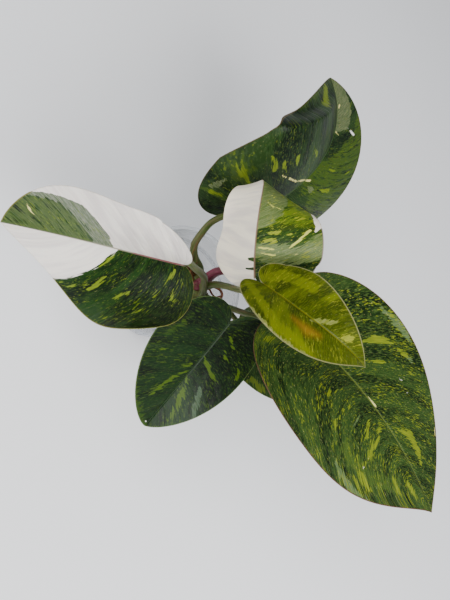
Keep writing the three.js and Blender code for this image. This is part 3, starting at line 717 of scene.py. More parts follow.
def parts_of(tree, label):
    """The three numbers of a named attribute."""
    source = put(tree, "Attribute", attribute_name=label)
    split = put(tree, "SeparateXYZ", source.outputs["Vector"])
    return split.outputs[0], split.outputs[1], split.outputs[2]


def noise_at(tree, where, scale=1.0, detail=None, roughness=None):
    """A noise texture read at a place. None keeps Blender's own number."""
    made = put(tree, "TexNoise", where)
    for label, value in (("Scale", scale), ("Detail", detail), ("Roughness", roughness)):
        join(tree, made.inputs[label], value)
    return made.outputs[0]


def press(tree, shader, height, strength=1.0):
    """Gives the shader the normal of a height in millimetres."""
    bump = put(tree, "Bump", strength, MM)
    join(tree, bump.inputs["Height"], height)
    join(tree, shader.inputs["Normal"], bump.outputs[0])


def new_group(name, inputs, outputs):
    """A node group with named sockets. An input's default tells its type: a number or a colour."""
    group = bpy.data.node_groups.new(name, "ShaderNodeTree")
    for label, value in inputs.items():
        kind = "NodeSocketColor" if isinstance(value, tuple) else "NodeSocketFloat"
        socket = group.interface.new_socket(label, in_out="INPUT", socket_type=kind)
        socket.default_value = (*value, 1) if isinstance(value, tuple) else value
    for label, kind in outputs.items():
        group.interface.new_socket(label, in_out="OUTPUT", socket_type=kind)
    entry = group.nodes.new("NodeGroupInput")
    leave = group.nodes.new("NodeGroupOutput")
    return group, entry.outputs, leave.inputs


def place_group(tree, group, **values):
    """Puts a group into a material with its own values."""
    made = tree.nodes.new("ShaderNodeGroup")
    made.node_tree = group
    for label, value in values.items():
        join(tree, made.inputs[label.replace("_", " ")], value)
    return made


def new_material(name, **plain):
    """A material with one Principled shader, whose plain numbers are set on its sockets."""
    material = bpy.data.materials.new(name)
    material.use_nodes = True
    tree = material.node_tree
    shader = next(node for node in tree.nodes if node.type == "BSDF_PRINCIPLED")
    for label, value in plain.items():
        join(tree, shader.inputs[label.replace("_", " ")], value)
    return material, tree, shader


def linear(red, green, blue):
    """A colour as seen on a screen, 0 to 255, turned into the light that a shader counts in."""
    seen = np.array([red, green, blue]) / 255
    return tuple(float(x)
        for x in np.where(seen <= 0.04045, seen / 12.92, ((seen + 0.055) / 1.055) ** 2.4))


# %% [markdown]
# ## Flecks that follow the veins
# All the small marks of a leaf are drawn out along its veins. A noise texture that is read at
# (across the veins, along the veins), with the second number shrunk, gives just that. It is used
# for flecks and for the ragged ends of the sectors, so it is a group with its own inputs.


# %% Vein noise group
def make_vein_noise():
    """Noise at the place along the veins divided by a size across and a size along."""
    group, given, out = new_group(
        "vein noise", {"Across": 1.0, "Along": 4.0, "Seed": 0.0, "Detail": 2.0},
        {"Value": "NodeSocketFloat"}
    )
    across, along, _ = parts_of(group, "vein")
    x = maths(group, "DIVIDE", across, given["Across"])
    y = maths(group, "DIVIDE", along, given["Along"])
    where = put(group, "CombineXYZ", x, y, given["Seed"]).outputs[0]
    join(group, out["Value"], noise_at(group, where, 1.0, given["Detail"], 0.6))
    return group


VEIN_NOISE = make_vein_noise()


# %% Leaf tones
LIGHT_SHARE = {
    "Green": 0.36, "Dark": 0.18, "Fine": 0.4, "Bright": 0.4, "Sage": 0.48, "Lime": 0.58,
    "Cream": 0.8, "White": 1.0, "White painted shade": 1.0, "Edge": 0.5, "Rib": 0.45, "Under": 0.35,
    "Blush": 0.5,
}


def held_back(tones):
    """Tones are written as the eye reads them under a bright light. A colour's share of that light
    is its own, least for the darkest greens. Plain numbers stay."""
    return {
        label: tuple(LIGHT_SHARE[label] * channel for channel in linear(*value))
        if isinstance(value, tuple) else value for label, value in tones.items()
    }


# %% Leaf colour group
LEAF_TONES = {
    "Green": (58, 98, 42), "Dark": (22, 52, 28), "Fine": (92, 128, 58),
    "Sage": (132, 152, 122), "Lime": (150, 165, 30), "Cream": (228, 220, 140),
    "White": (246, 241, 234), "Edge": (150, 150, 90), "Rib": (110, 140, 70),
    "Under": (140, 155, 110), "White painted shade": (186, 176, 178), "Bright": (112, 140, 40),
    "Blush": (170, 66, 92),
    "Blush soft": 0.4, "Crowd level": 0.655, "Raggedness": 12.0, "Fineness": 0.5,
    "Lime flecks": 0.5, "Cream flecks": 0.2,
}


def make_leaf_colour():
    """Lays the colours over each other: dark and green bands, the streaky bright marks and the dark
    green marks, which on the tall leaf are also painted shade in the hollow behind its crest, sage
    with fine streaks, fine flecks, lime and cream flecks, then the placed lime, cream and white
    marks with ragged ends and broad patches of painted shade on the white, the midrib, the blush
    and the thin coloured margin. The lower face is paler."""
    group, given, out = new_group("leaf colour", held_back(LEAF_TONES),
        {"Colour": "NodeSocketColor", "Smoothness": "NodeSocketFloat"})
    blend, step, count = (partial(helper, group) for helper in (blend_colour, ramp, maths))
    _, _, under = parts_of(group, "vein")
    white, sage, lime = parts_of(group, "paint")
    cream, deep, edge = parts_of(group, "detail")
    length, v, _ = parts_of(group, "flat")
    bright, blush, _ = parts_of(group, "tint")

    def noise(size, reach, seed, detail=2.0):
        return place_group(group, VEIN_NOISE, Across=size, Along=reach, Seed=seed,
            Detail=detail).outputs[0]

    from_rib = count("ABSOLUTE", v)
    calm = step(from_rib, 0.2, 5.0, 0.08, 1.0)
    wide_rough = count("SUBTRACT", noise(2.6, 16.0, 3.1, 1.0), 0.5)
    both_rough = count("MULTIPLY_ADD", wide_rough, 1.2,
        count("SUBTRACT", noise(0.9, 7.0, 5.3, 2.0), 0.5))
    rough_edge = count("MULTIPLY", both_rough, calm)

    def painted(field, ragged, soft=0.22):
        moved = count("MULTIPLY_ADD", rough_edge, ragged, field)
        return step(moved, -soft, soft)

    bands = noise(11.0, 60.0, 7.7)
    colour = blend(step(bands, 0.36, 0.62), given["Dark"], given["Green"])
    colour = blend(count("MULTIPLY", painted(bright, given["Raggedness"], 1.2), 0.8), colour,
        given["Bright"])
    # dark green marks: the leaf's own tone, and on the tall leaf also painted shade in the hollow
    # behind its crest
    colour = blend(count("MULTIPLY", painted(deep, given["Raggedness"], 1.8), 0.8), colour,
        given["Dark"])
    streaks = step(noise(0.7, 12.0, 53.0), 0.38, 0.62)
    sage_colour = blend(count("MULTIPLY", streaks, 0.6), given["Sage"], given["Fine"])
    colour = blend(painted(sage, 5.0), colour, sage_colour)
    fine = count("MULTIPLY", step(noise(0.8, 4.4, 11.0), 0.48, 0.6), given["Fineness"])
    colour = blend(fine, colour, given["Fine"])
    patchy = step(noise(14.0, 30.0, 31.0), 0.4, 0.6)
    crowd = count("MULTIPLY_ADD", patchy, -0.07, given["Crowd level"])
    small = step(count("SUBTRACT", noise(0.9, 4.6, 23.0, 3.0), crowd), 0.0, 0.03)
    colour = blend(count("MULTIPLY", small, given["Lime flecks"]), colour, given["Lime"])
    large = step(count("SUBTRACT", noise(1.7, 8.0, 29.0, 3.0), crowd), 0.02, 0.04)
    colour = blend(count("MULTIPLY", large, given["Lime flecks"]), colour, given["Lime"])
    dots = count("MULTIPLY", step(noise(0.9, 2.6, 41.0), 0.66, 0.68), given["Cream flecks"])
    colour = blend(dots, colour, given["Cream"])
    lime_colour = blend(count("MULTIPLY", streaks, 0.5), given["Lime"], given["Bright"])
    colour = blend(painted(lime, 7.0), colour, lime_colour)
    colour = blend(painted(cream, 1.8), colour, given["Cream"])
    white_part = painted(white, 2.0)
    # painted shade: broad noise patches grey the white parts, standing in for the soft shading of
    # the curved blade
    painted_shade = count("MULTIPLY", step(noise(8.0, 50.0, 61.0), 0.35, 0.65), 0.42)
    white_colour = blend(painted_shade, given["White"], given["White painted shade"])
    colour = blend(white_part, colour, white_colour)
    rib_width = count("MULTIPLY_ADD", length, -0.75, 0.95)
    rib = step(count("SUBTRACT", rib_width, from_rib), -0.15, 0.35)
    colour = blend(count("MULTIPLY", rib, 0.85), colour, given["Rib"])
    tinted = step(blush, count("MULTIPLY", given["Blush soft"], -1.0), given["Blush soft"])
    colour = blend(count("MULTIPLY", tinted, 0.8), colour, given["Blush"])
    margin_line = count("MULTIPLY", step(edge, 0.9, 0.35),
        count("MULTIPLY_ADD", white_part, -0.85, 1.0))
    colour = blend(margin_line, colour, given["Edge"])
    pale = count("MULTIPLY", under, 0.45)
    colour = blend(pale, colour, given["Under"])
    join(group, out["Colour"], colour)
    gloss = count("MULTIPLY_ADD", noise(3.0, 9.0, 71.0), 0.24, 0.26)
    join(group, out["Smoothness"], count("MULTIPLY_ADD", under, 0.2, gloss))
    return group


LEAF_COLOUR = make_leaf_colour()


# %% Leaf relief group
def make_leaf_relief():
    """Height in millimetres: side veins pressed in at even steps across, fine veins between
    them, a soft pucker between the side veins, and the midrib as a shallow channel."""
    group, given, out = new_group(
        "leaf relief", {"Vein step": 7.0, "Vein depth": 0.13, "Pucker": 0.5},
        {"Height": "NodeSocketFloat"}
    )
    step, count = (partial(helper, group) for helper in (ramp, maths))
    across, _, _ = parts_of(group, "vein")
    _, v, _ = parts_of(group, "flat")
    half = count("MULTIPLY", given["Vein step"], 0.5)
    from_vein = count("PINGPONG", across, half)
    groove = step(from_vein, 0.0, 1.3, 1.0, 0.0)
    height = count("MULTIPLY", groove, count("MULTIPLY", given["Vein depth"], -1.0))

    def noise(size, reach, seed):
        return place_group(group, VEIN_NOISE, Across=size, Along=reach, Seed=seed,
            Detail=1.0).outputs[0]

    height = count("MULTIPLY_ADD", noise(0.7, 25.0, 83.0), 0.05, height)
    height = count("MULTIPLY_ADD", noise(9.0, 16.0, 97.0), given["Pucker"], height)
    channel = step(count("ABSOLUTE", v), 0.2, 1.4, 1.0, 0.0)
    height = count("MULTIPLY_ADD", channel, -0.35, height)
    join(group, out["Height"], height)
    return group


LEAF_RELIEF = make_leaf_relief()
print("groups:", len(bpy.data.node_groups))

# %% [markdown]
# ## Seven leaf finishes
# Each leaf places the same two groups with its own colours, as seen on a screen. The youngest
# leaf is lime yellow with an orange blush, the dark one in front is nearly black green. The
# shader stays in the material, and a little light passes through the blade.

# %% Leaf finishes
FINISH = {
    "half_white": {
        "Green": (42, 88, 24), "Dark": (18, 50, 16), "Fine": (74, 110, 38),
        "Bright": (118, 142, 74),
        "Sage": (172, 180, 156), "Pucker": 1.0, "Lime": (142, 164, 26), "White": (238, 231, 221),
        "Rib": (196, 190, 160), "Edge": (150, 150, 70), "Fineness": 0.45, "Lime flecks": 0.55,
        "Cream flecks": 0.15, "Crowd level": 0.66,
    },
    "tall": {
        "Green": (58, 92, 40), "Dark": (24, 54, 30), "Fine": (84, 114, 62), "Bright": (98, 130, 34),
        "Sage": (150, 160, 112), "Lime": (142, 162, 30), "Edge": (112, 100, 66),
        "Rib": (86, 116, 66), "Fineness": 0.5, "Lime flecks": 0.4, "Cream flecks": 0.12,
        "Crowd level": 0.665,
    },
    "dark": {
        "Green": (26, 62, 20), "Dark": (10, 34, 12), "Fine": (54, 88, 32), "Bright": (70, 106, 20),
        "Sage": (96, 118, 92), "Lime": (84, 110, 20), "Edge": (92, 118, 60),
        "Rib": (46, 72, 34), "Fineness": 0.45, "Lime flecks": 0.5, "Cream flecks": 0.05,
        "Crowd level": 0.645, "Vein depth": 0.05,
    },
    "long": {
        "Green": (68, 102, 42), "Dark": (32, 68, 26), "Fine": (102, 134, 62),
        "Bright": (104, 134, 44),
        "Sage": (134, 158, 108), "Lime": (156, 170, 38), "Edge": (128, 88, 72),
        "Rib": (140, 158, 62), "Fineness": 0.7, "Lime flecks": 0.8, "Cream flecks": 0.3,
        "Crowd level": 0.645,
    },
    "folded": {
        "Green": (80, 120, 30), "Dark": (34, 80, 22), "Fine": (92, 128, 46),
        "Bright": (156, 184, 30),
        "Sage": (152, 168, 104), "Cream": (212, 212, 100), "Lime": (176, 184, 52),
        "White": (248, 237, 214),
        "Rib": (176, 138, 112), "Edge": (178, 160, 150), "Fineness": 0.4, "Lime flecks": 0.6,
        "Cream flecks": 0.3,
    },
    "lime": {
        "Green": (146, 164, 10), "Dark": (108, 132, 6), "Fine": (150, 164, 26),
        "Bright": (158, 174, 22),
        "Sage": (170, 178, 96), "Lime": (182, 186, 60), "Edge": (170, 170, 110),
        "Blush": (190, 142, 30),
        "Blush soft": 4.5, "Rib": (140, 140, 24), "Fineness": 0.35, "Lime flecks": 0.5,
        "Cream flecks": 0.1,
        "Raggedness": 5.0, "Crowd level": 0.65,
    },
    "low": {
        "Green": (66, 110, 42), "Dark": (36, 76, 30), "Fine": (110, 145, 80),
        "Sage": (122, 142, 104), "Lime": (140, 162, 50), "Edge": (120, 140, 80),
        "Fineness": 0.7, "Lime flecks": 0.6, "Cream flecks": 0.3,
    },
}


def leaf_material(name):
    """Colour and gloss from the leaf colour group, fine form from the relief group."""
    material, tree, shader = new_material(
        "leaf " + name, Subsurface_Weight=0.04, Subsurface_Scale=0.003, IOR=1.45,
        Specular_IOR_Level=0.16
    )
    paint = place_group(tree, LEAF_COLOUR)
    relief = place_group(tree, LEAF_RELIEF)
    for label, value in held_back({**LEAF_TONES, **FINISH[name]}).items():
        group = relief if label in relief.inputs else paint
        join(tree, group.inputs[label], value)
    join(tree, shader.inputs["Base Color"], paint.outputs[0])
    join(tree, shader.inputs["Roughness"], paint.outputs[1])
    press(tree, shader, relief.outputs[0])
    return material


for name, blade in blades.items():
    blade.data.materials.append(leaf_material(name))
print("leaf finishes:", len(FINISH))

# %% [markdown]
# ## Stalks, stem and roots
# These are all a section carried along a smooth line. The line is a centripetal Catmull-Rom
# curve, which passes through every point without loops. Each stalk starts inside the stem and
# runs out as the midrib's swelling under its blade, so that no joint shows.


# %% Line and tube
def smooth_line(path, spacing):
    """A centripetal Catmull-Rom curve: a cubic between each pair of points, whose end slopes
    come from the square roots of the gaps. Returned at even steps of its length."""
    points = np.array(path, float)
    ends = np.vstack([2 * points[0] - points[1], points, 2 * points[-1] - points[-2]])
    p0, p1, p2, p3 = ends[:-3], ends[1:-2], ends[2:-1], ends[3:]
    d0, d1, d2 = [np.sqrt(np.linalg.norm(b - a, axis=1, keepdims=True)) for a,
        b in ((p0, p1), (p1, p2), (p2, p3))]
    leave = d1 * ((p1 - p0) / d0 - (p2 - p0) / (d0 + d1) + (p2 - p1) / d1)
    arrive = d1 * ((p2 - p1) / d1 - (p3 - p1) / (d1 + d2) + (p3 - p2) / d2)
    w = np.linspace(0, 1, 40, endpoint=False)[None, :, None]
    a, b, s, e = (x[:, None] for x in (p1, p2, leave, arrive))
    fine = a + s * w + (3 * b - 3 * a - 2 * s - e) * w**2 + (2 * a - 2 * b + s + e) * w**3
    fine = np.vstack([fine.reshape(-1, 3), points[-1:]])
    walked = np.concatenate([[0], np.cumsum(np.linalg.norm(np.diff(fine, axis=0), axis=1))])
    place = np.linspace(0, walked[-1], max(6, round(walked[-1] / spacing)) + 1)
    return np.stack([np.interp(place, walked, fine[:, i]) for i in range(3)], 1), place


def ring_faces(count, sides):
    """Triangles over count rings of sides points each. Each end closes on one more point."""
    index = np.arange(count * sides).reshape(count, sides)
    turn = np.roll(index, -1, axis=1)
    a, b, c, d = index[:-1], turn[:-1], turn[1:], index[1:]
    low, high = 0 * index[0] + index.size, 0 * index[0] + index.size + 1
    faces = [(a, b, c), (a, c, d), (turn[0], index[0], low), (index[-1], turn[-1], high)]
    return np.concatenate([np.stack(part, -1).reshape(-1, 3) for part in faces])


def tube(path, radius_at, sides=20, spacing=1.6, flat=1.0, level=(1.0, 0.0, 0.0)):
    """A section carried along the line: each ring lies in the plane across the line, turned so
    that its angle zero points along level. radius_at gets the share of the length and the
    angle. Also returns, for the material, the distance along and the point of the section."""
    line, walked = smooth_line(path, spacing)
    ahead = unit(np.gradient(line, axis=0))
    level = np.array(level, float)
    across = unit(level - ahead * (ahead @ level)[:, None])
    rise = np.cross(ahead, across)
    angle = np.linspace(0, 2 * np.pi, sides, endpoint=False)[None]
    share = (walked / walked[-1])[:, None]
    radius = radius_at(share, angle) * np.ones((len(line), sides))
    x, y = radius * np.cos(angle), radius * flat * np.sin(angle)
    rings = line[:, None] + across[:, None] * x[..., None] + rise[:, None] * y[..., None]
    points = np.vstack([rings.reshape(-1, 3), line[0], line[-1]])
    place = np.stack([walked[:, None] * np.ones_like(x), x, y], -1).reshape(-1, 3)
    place = np.vstack([place, [0, 0, 0], [walked[-1], 0, 0]])
    return points, ring_faces(len(line), sides), place


# %% Petioles
STALKS = {
    "half_white": ((3.5, 2.4),
        [(5, -0.5, 95), (12, -3, 101), (13.5, -4, 109), (9, -6, 119), (3, -10, 130), (-1, -20, 144),
            (-4.5, -34, 160)]),
    "tall": ((3.6, 2.3),
        [(4.5, 0, 99), (-8, 4.5, 105), (-19, 0, 110.5), (-28, 0, 116), (-36, 8, 121),
            (-42, 17, 126), (-44, 30, 132), (-43, 43, 137)]),
    "folded": ((4.2, 2.3),
        [(5, 0, 105), (2.5, 1, 116), (0, 4, 126), (1, 5, 138), (6, 2.5, 160), (10.5, -4, 180)]),
    "lime": ((3, 2),
        [(6, -1, 106), (8, -2, 118), (9.5, -3, 132), (14, -7, 152), (20, -14, 176),
            (23, -22, 198)]),
    "long": ((3.2, 2.1),
        [(4, 0, 84), (12, 2, 92), (22, 5, 106), (31.5, 9, 124), (41, 11, 145), (49, 18, 160)]),
    "dark": ((3.2, 2.2), [(4, 0, 82), (12, -5, 92), (22, -8, 110), (31, -13, 132), (38, -18, 149)]),
    "low": ((2.8, 1.9),
        [(3.5, 0.5, 76), (13, 8, 90), (29, 17, 103), (45, 25, 105.5), (57, 30.5, 101.5)]),
}
SHEATH_SWELL = 0.3
UNDER_RIB = ((0, 1.0), (6, 0.72), (13, 0.5), (22, 0.3))


def below_rib(leaf, u, radius):
    """The middle of a round stalk that touches both halves from below: it lies along the
    mean of their two normals, far enough that neither half cuts it."""
    ahead, side, face = aim(leaf, np.array([float(u)]))
    left, right = np.radians(leaf["left"][0]), np.radians(leaf["right"][0])
    normals = [face * np.cos(left) - side * np.sin(left),
        face * np.cos(right) + side * np.sin(right)]
    mean = unit(normals[0] + normals[1])
    depth = (radius + BLADE) / (normals[0] * mean).sum()
    return (midrib_line(leaf, np.array([float(u)])) - mean * depth)[0]


def build_stalk(name):
    """Radius from base to blade, a swollen sheath at the foot, and a shallow groove above."""
    leaf = LEAVES[name]
    (base, end), path = STALKS[name]
    tail = [below_rib(leaf, u, end * share) for u, share in UNDER_RIB]
    line, _ = smooth_line(path + tail, 1.0)
    tail_share = UNDER_RIB[-1][0] / len(line)

    def radius(share, angle):
        body = base + (end - base) * share / (1 - tail_share)
        body = body * (1 + SHEATH_SWELL * np.exp(-8 * share))
        slim = 1 - 0.7 * np.clip((share - 1 + tail_share) / tail_share, 0, 1)
        groove = 1 - 0.13 * np.exp(-(((angle - np.pi / 2) / 0.5) ** 2))
        return np.maximum(body, end) * np.minimum(slim, 1) * groove

    level = aim(leaf, np.array([0.0]))[1][0]
    points, faces, place = tube(path + tail, radius, level=level)
    slot = "petiole_red" if name == "folded" else "petiole"
    return surface("stalk_" + name, points, faces, slot, "petiole_" + name, sharp=60, tube=place)


stalks = {name: build_stalk(name) for name in STALKS}

# %% Stem
STEM_PATH = [(1, 1, 27), (1.5, 1, 50), (3, 0.5, 78), (4.5, 0, 98), (5.5, -0.5, 112)]
STEM_LENGTH = 85.4
RING_STEP = 13


def stem_radius(share, angle):
    """Tapers to the top, swells in a ring at each old leaf scar, and rounds off at its end."""
    from_ring = np.abs((share * STEM_LENGTH) % RING_STEP - RING_STEP / 2)
    swell = 0.7 * np.exp(-((from_ring / 1.6) ** 2))
    swell = swell - 0.25 * np.exp(-(((from_ring - 2.4) / 0.5) ** 2))
    end = np.sqrt(1 - np.maximum(0, (share - 0.96) / 0.04) ** 2 * 0.75)
    return (6.6 - 1.2 * share + swell + 0.12 * np.sin(5 * angle + 20 * share)) * end


stem_points, stem_faces, stem_place = tube(STEM_PATH, stem_radius, 40, 0.9)
stem = surface("climbing_stem", stem_points, stem_faces, "stem", "stem", sharp=60, tube=stem_place)

# %% Scale leaves and roots
SCALES = {
    "cataphyll_green": ((2.6, 0.5), 0.42,
        [(-3, 2, 102), (-11, -4, 108), (-17.5, -6.5, 115), (-23, -5.5, 122), (-27.5, -4.5, 129)]),
    "cataphyll_dry": ((2, 0.5), 0.45,
        [(0, -4, 101), (-7, -5.5, 106), (-11, -5, 112), (-13, -3, 118)]),
}
ROOTS = {
    "aerial_root_long": ((1.3, 1),
        [(4.5, 0, 96), (9, 13, 102), (13.5, 19, 103), (19, 24, 97), (22.5, 26, 84), (23, 26.5, 66),
            (22.5, 26, 42)]),
    "aerial_root_curl": ((1.2, 0.6),
        [(5, 0, 105), (10.5, 3.5, 111), (15.5, 6, 109.5), (19, 10, 107), (19.5, 15, 107)]),
    "aerial_root_low": ((1.4, 1),
        [(3, 0.5, 76), (-7, -7, 73), (-13, -12, 64), (-14.5, -13.5, 52), (-14.5, -13.5, 40)]),
}


def build_scale(name):
    """A flat tapering tube with a keel along one side."""
    (base, end), flat, path = SCALES[name]

    def radius(share, angle):
        return (base + (end - base) * share**1.5) * (1 + 0.12 * np.cos(3 * angle))

    points, faces, place = tube(path, radius, 18, 1.0, flat, level=(0, 1, 0.3))
    return surface("scale_leaf_" + name.split("_")[1], points, faces, "cataphyll", name, sharp=70,
        tube=place)


def build_root(name):
    """A round tube whose radius wavers a little, as a root that grew in air does."""
    (base, end), path = ROOTS[name]

    def radius(share, angle):
        waver = 0.07 * np.sin(37 * share + 2 * angle) + 0.05 * np.sin(83 * share - 3 * angle)
        return (base + (end - base) * share) * (1 + waver)

    points, faces, place = tube(path, radius, 14, 0.9, level=(0, 1, 0.2))
    return surface("air_root_" + name.split("_")[-1], points, faces, "aerial_root", name, sharp=70,
        tube=place)


scales = {name: build_scale(name) for name in SCALES}
roots = {name: build_root(name) for name in ROOTS}


# %% Fibre group and stalk finishes
def make_fibres():
    """Streaks along a stalk: noise read at the distance along, shrunk, and at the section."""
    group, given, out = new_group("fibres", {"Width": 0.5, "Length": 12.0, "Seed": 0.0},
        {"Value": "NodeSocketFloat"})
    along, x, y = parts_of(group, "tube")
    where = put(
        group, "CombineXYZ", maths(group, "DIVIDE", along, given["Length"]),
        maths(group, "DIVIDE", x, given["Width"]),
        maths(group, "MULTIPLY_ADD", y, 2.0, given["Seed"]),
    ).outputs[0]
    join(group, out["Value"], noise_at(group, where, 1.0, 3.0))
    return group


FIBRES = make_fibres()
STALK_LIGHT = 0.42


def stalk_material(name, light, dark, blush, blush_share, gloss, bumps=0.25):
    """Green or brown fibres, and a blush in broad bands. The tones are as seen on a screen."""
    material, tree, shader = new_material(name, IOR=1.45, Specular_IOR_Level=0.25)
    light, dark, blush = [
        tuple(STALK_LIGHT * channel for channel in linear(*tone)) for tone in (light, dark, blush)
    ]
    fine = place_group(tree, FIBRES, Width=0.6, Length=9.0, Seed=2.0).outputs[0]
    broad = place_group(tree, FIBRES, Width=4.0, Length=16.0, Seed=5.0).outputs[0]
    colour = blend_colour(tree, ramp(tree, fine, 0.35, 0.65), dark, light)
    patch = maths(tree, "MULTIPLY", ramp(tree, broad, 0.42, 0.62), blush_share)
    colour = blend_colour(tree, patch, colour, blush)
    join(tree, shader.inputs["Base Color"], colour)
    join(tree, shader.inputs["Roughness"], maths(tree, "MULTIPLY_ADD", fine, 0.25, gloss))
    press(tree, shader, maths(tree, "MULTIPLY", fine, bumps))
    return material


GREEN_STALK = stalk_material("green stalk", (134, 154, 76), (84, 108, 48), (178, 96, 104), 0.3, 0.3)
RED_STALK = stalk_material("red stalk", (190, 88, 116), (124, 38, 66), (140, 110, 70), 0.35, 0.28)
STEM_BARK = stalk_material("maroon stem", (176, 56, 92), (78, 22, 40), (150, 104, 70), 0.5, 0.4,
    0.5)
SCALE_SKIN = stalk_material("scale leaf", (150, 150, 76), (104, 104, 44), (196, 92, 76), 0.6, 0.45)
DRY_SKIN = stalk_material("dry scale", (190, 128, 74), (126, 72, 38), (96, 50, 26), 0.7, 0.6, 0.5)
ROOT_SKIN = stalk_material("air root", (232, 162, 122), (190, 110, 76), (140, 78, 56), 0.5, 0.55,
    0.5)
for name, stalk in stalks.items():
    stalk.data.materials.append(RED_STALK if name == "folded" else GREEN_STALK)
stem.data.materials.append(STEM_BARK)
scales["cataphyll_green"].data.materials.append(SCALE_SKIN)
scales["cataphyll_dry"].data.materials.append(DRY_SKIN)
for root in roots.values():
    root.data.materials.append(ROOT_SKIN)

# %% [markdown]
# ## The clear pot
# A thermoformed pot is a profile turned about its axis. Spin or Screw would do it, and so does
# an outer product of the profile with a circle. The drain holes are cut once with a Boolean and
# the result kept, because the export wants plain meshes.

# %% Turned profile
POT_PROFILE = [
    (0, 0), (13, 0), (13.8, 2.6), (31, 2.6), (31.8, 0), (36.4, 0), (37.17, 1.2), (46.4, 67),
    (48.2, 68.2), (49.6, 87.4), (51.6, 88), (52, 91.2), (51.3, 92), (48.8, 92), (48.3, 91.2),
    (46.9, 68.8), (45.1, 67.6), (36.56, 6.1), (34.67, 4.1), (0, 4.1),
]


def rounded(profile, soft=0.45):
    """Each corner of the profile is cut back by soft millimetres on both sides, twice, which
    rounds it. Corners on the axis stay."""
    line = np.array(profile, float)
    for reach in (soft, soft * 0.35):
        step = np.diff(line, axis=0)
        size = np.linalg.norm(step, axis=1, keepdims=True)
        cut = np.minimum(reach, size * 0.3)
        after = line[:-1] + step / size * cut
        before = line[1:] - step / size * cut
        middle = np.stack([before[:-1], after[1:]], 1).reshape(-1, 2)
        line = np.vstack([line[:1], middle, line[-1:]])
    return line


def turned(profile, sides):
    """The profile's radius times cosine and sine, its height kept. The ends on the axis are one
    point each."""
    line = np.array(profile, float)
    angle = np.linspace(0, 2 * np.pi, sides, endpoint=False)[None]
    body = line[1:-1]
    r, z = body[:, :1], body[:, 1:]
    rings = np.stack([r * np.cos(angle), r * np.sin(angle), z + 0 * angle], -1)
    points = np.vstack([rings.reshape(-1, 3), [0, 0, line[0, 1]], [0, 0, line[-1, 1]]])
    return points, ring_faces(len(body), sides)


# %% Pot
DRAIN_COUNT, DRAIN_RADIUS, DRAIN_CIRCLE = 8, 3.4, 22
NOTCH_COUNT, NOTCH_WIDTH, NOTCH_HEIGHT = 4, 7, 1.8


def cutter(name, points, faces):
    """A plain mesh used only to cut with."""
    mesh = bpy.data.meshes.new(name)
    mesh.from_pydata((points * MM).tolist(), [], faces.tolist())
    made = bpy.data.objects.new(name, mesh)
    bpy.context.scene.collection.objects.link(made)
    return made


def pot_cutters():
    """Eight round drains through the floor and four notches in the foot ring."""
    drain, drain_faces = turned([(0, -1), (DRAIN_RADIUS, -1), (DRAIN_RADIUS, 6), (0, 6)], 24)
    box = np.array([(x, y, z) for x in (-6, 6) for y in (-0.5, 0.5) for z in (-1, 1)], float)
    box = box * [1, NOTCH_WIDTH, NOTCH_HEIGHT] + [35, 0, 0]
    box_faces = np.array([(0, 1, 3, 2), (4, 6, 7, 5), (0, 4, 5, 1), (2, 3, 7, 6), (0, 2, 6, 4),
        (1, 5, 7, 3)])
    box_faces = np.concatenate([box_faces[:, [0, 1, 2]], box_faces[:, [0, 2, 3]]])
    points, faces, count = [], [], 0
    for i in range(DRAIN_COUNT):
        a = 2 * np.pi * (i + 0.5) / DRAIN_COUNT
        points.append(drain + [DRAIN_CIRCLE * np.cos(a), DRAIN_CIRCLE * np.sin(a), 0])
        faces.append(drain_faces + count)
        count += len(drain)
    for i in range(NOTCH_COUNT):
        a = 2 * np.pi * (i + 0.5) / NOTCH_COUNT
        turn = np.array([(np.cos(a), -np.sin(a), 0), (np.sin(a), np.cos(a), 0), (0, 0, 1)])
        points.append(box @ turn.T)
        faces.append(box_faces + count)
        count += len(box)
    return np.vstack(points), np.vstack(faces)


def build_pot():
    """The turned profile less its cutters, kept as a plain mesh."""
    body = surface("clear_pot", *turned(rounded(POT_PROFILE), 144), "pot", "pot")
    tool = cutter("pot cutter", *pot_cutters())
    cut = body.modifiers.new("cut", "BOOLEAN")
    cut.object = tool
    cut.operation = "DIFFERENCE"
    cut.solver = "EXACT"
    depsgraph = bpy.context.evaluated_depsgraph_get()
    done = bpy.data.meshes.new_from_object(body.evaluated_get(depsgraph))
    body.modifiers.clear()
    body.data = done
    bpy.data.objects.remove(tool)
    done.polygons.foreach_set("use_smooth", np.ones(len(done.polygons), bool))
    done.set_sharp_from_angle(angle=np.radians(32))
    print("pot after cutting:", len(done.polygons), "faces")
    return body


pot = build_pot()


